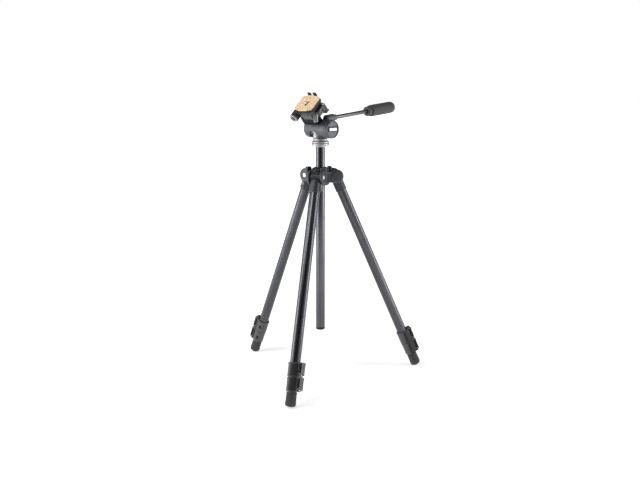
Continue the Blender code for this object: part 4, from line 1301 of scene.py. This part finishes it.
piece("quick_release_lever", cast(about(shifted(release_lever()), HINGE), 0.4, 3, 0.5), ROLL, DARK_CAST, at=HINGE)
piece(
    "release_lever_pin",
    shifted(turned([
        (0, 48.6), (2.5, 48.6), (2.5, 73.9), (4.2, 73.9), (4.2, 75.0), (3.6, 75.6), (0, 75.6),
    ], at=(LEVER_X, 14, 0), segs=14)),
    ROLL, STEEL,
)
piece("quick_release_plate", cast(shifted(quick_plate()), 0.45, 3, 0.4), ROLL, BLACK_PLASTIC)
piece("cork_pad", shifted(cork_pad()), ROLL, CORK)
SCREW_AT = Vector((PLATE_X - ROLL_X, 0, 80.0 - ROLL_Z))
piece("camera_screw", about(shifted(camera_screw()), SCREW_AT), ROLL, STEEL, at=SCREW_AT)


# ---- stage, light and camera --------------------------------------------------
def stage_plane(name, corners, mat):
    bm = bmesh.new()
    bm.faces.new([bm.verts.new(c) for c in corners])
    obj = add_object(name, bm)
    obj.data.materials.append(mat)
    return obj


def floor_look():
    k = Look("pale_floor")
    cloud = k.noise(3.0, 3.0, 0.5)
    k.colour(k.mix(cloud, (0.86, 0.86, 0.865), (0.90, 0.90, 0.90)))
    k.rough(cloud, 0.55, 0.75)
    k.shader.inputs["Emission Color"].default_value = (1.0, 1.0, 1.0, 1.0)
    reach = k.nodes.new("ShaderNodeVectorMath")
    reach.operation = "LENGTH"
    k.links.new(k.coords.outputs["Object"], reach.inputs[0])
    glow = k.nodes.new("ShaderNodeMapRange")
    for socket, value in (("From Min", 0.3), ("From Max", 1.6), ("To Min", 0.52), ("To Max", 1.1)):
        glow.inputs[socket].default_value = value
    k.links.new(reach.outputs["Value"], glow.inputs["Value"])
    k.links.new(glow.outputs["Result"], k.shader.inputs["Emission Strength"])
    return k.mat


def card_look():
    k = Look("black_card", specular=0.1)
    cloud = k.noise(6.0, 2.0, 0.5)
    k.colour(k.mix(cloud, (0.004, 0.004, 0.004), (0.008, 0.008, 0.008)))
    k.rough(cloud, 0.8, 0.95)
    return k.mat


stage_plane("floor", [(-14, -14, 0), (14, -14, 0), (14, 14, 0), (-14, 14, 0)], floor_look())

FACING = Vector((math.sin(math.radians(43)), -math.cos(math.radians(43)), 0))  # from the tripod to the camera
RIGHT = Vector((math.cos(math.radians(43)), math.sin(math.radians(43)), 0))
UP = Vector((0, 0, 1))
AIM = Vector((0.03, 0.0, 0.42))

card = stage_plane(
    "black_card",
    [AIM + FACING * 3.4 + RIGHT * sx * 2.6 + UP * z for sx, z in ((-1, -0.4), (1, -0.4), (1, 2.9), (-1, 2.9))],
    card_look(),
)
card.visible_camera = False
card.visible_shadow = False


def area(name, place, aim, width, height, power, tint=(1, 1, 1)):
    light = bpy.data.lights.new(name, "AREA")
    light.shape = "RECTANGLE"
    light.size, light.size_y = width, height
    light.energy = power
    light.color = tint
    obj = bpy.data.objects.new(name, light)
    SCENE.collection.objects.link(obj)
    obj.location = place
    obj.rotation_euler = (aim - place).to_track_quat("-Z", "Y").to_euler()
    return obj


area("key", AIM + FACING * 1.3 - RIGHT * 1.5 + UP * 1.9, AIM, 1.1, 1.1, 24)
area("left_box", AIM + FACING * 0.35 - RIGHT * 2.0 + UP * 0.25, AIM, 0.6, 2.0, 26)
area("right_box", AIM + FACING * 0.2 + RIGHT * 2.0 + UP * 0.25, AIM, 0.6, 2.0, 24)

world = bpy.data.worlds.new("studio")
SCENE.world = world
world.use_nodes = True
background = world.node_tree.nodes["Background"]
where = world.node_tree.nodes.new("ShaderNodeTexCoord")
apart = world.node_tree.nodes.new("ShaderNodeSeparateXYZ")
fade = world.node_tree.nodes.new("ShaderNodeValToRGB")
fade.color_ramp.elements[0].position = 0.11
fade.color_ramp.elements[0].color = (1.0, 1.0, 1.0, 1.0)
fade.color_ramp.elements[1].position = 0.40
fade.color_ramp.elements[1].color = (0.22, 0.22, 0.23, 1.0)
world.node_tree.links.new(where.outputs["Generated"], apart.inputs["Vector"])
world.node_tree.links.new(apart.outputs["Z"], fade.inputs["Fac"])
world.node_tree.links.new(fade.outputs["Color"], background.inputs["Color"])
background.inputs["Strength"].default_value = 1.0

lens = bpy.data.cameras.new("camera")
lens.sensor_width = 36.0
lens.lens = 892.3 / 640 * 36.0
lens.clip_start = 0.05
camera = bpy.data.objects.new("camera", lens)
SCENE.collection.objects.link(camera)
camera.location = (COLUMN_X * MM + 1.5677, COLUMN_Y * MM - 1.6829, 0.784)
camera.rotation_euler = (math.radians(79.62), 0, math.radians(43))
SCENE.camera = camera
SCENE.view_settings.view_transform = "Standard"
SCENE.view_settings.look = "None"

# ---- update the view layer ------------------------------------------------------
bpy.context.view_layer.update()
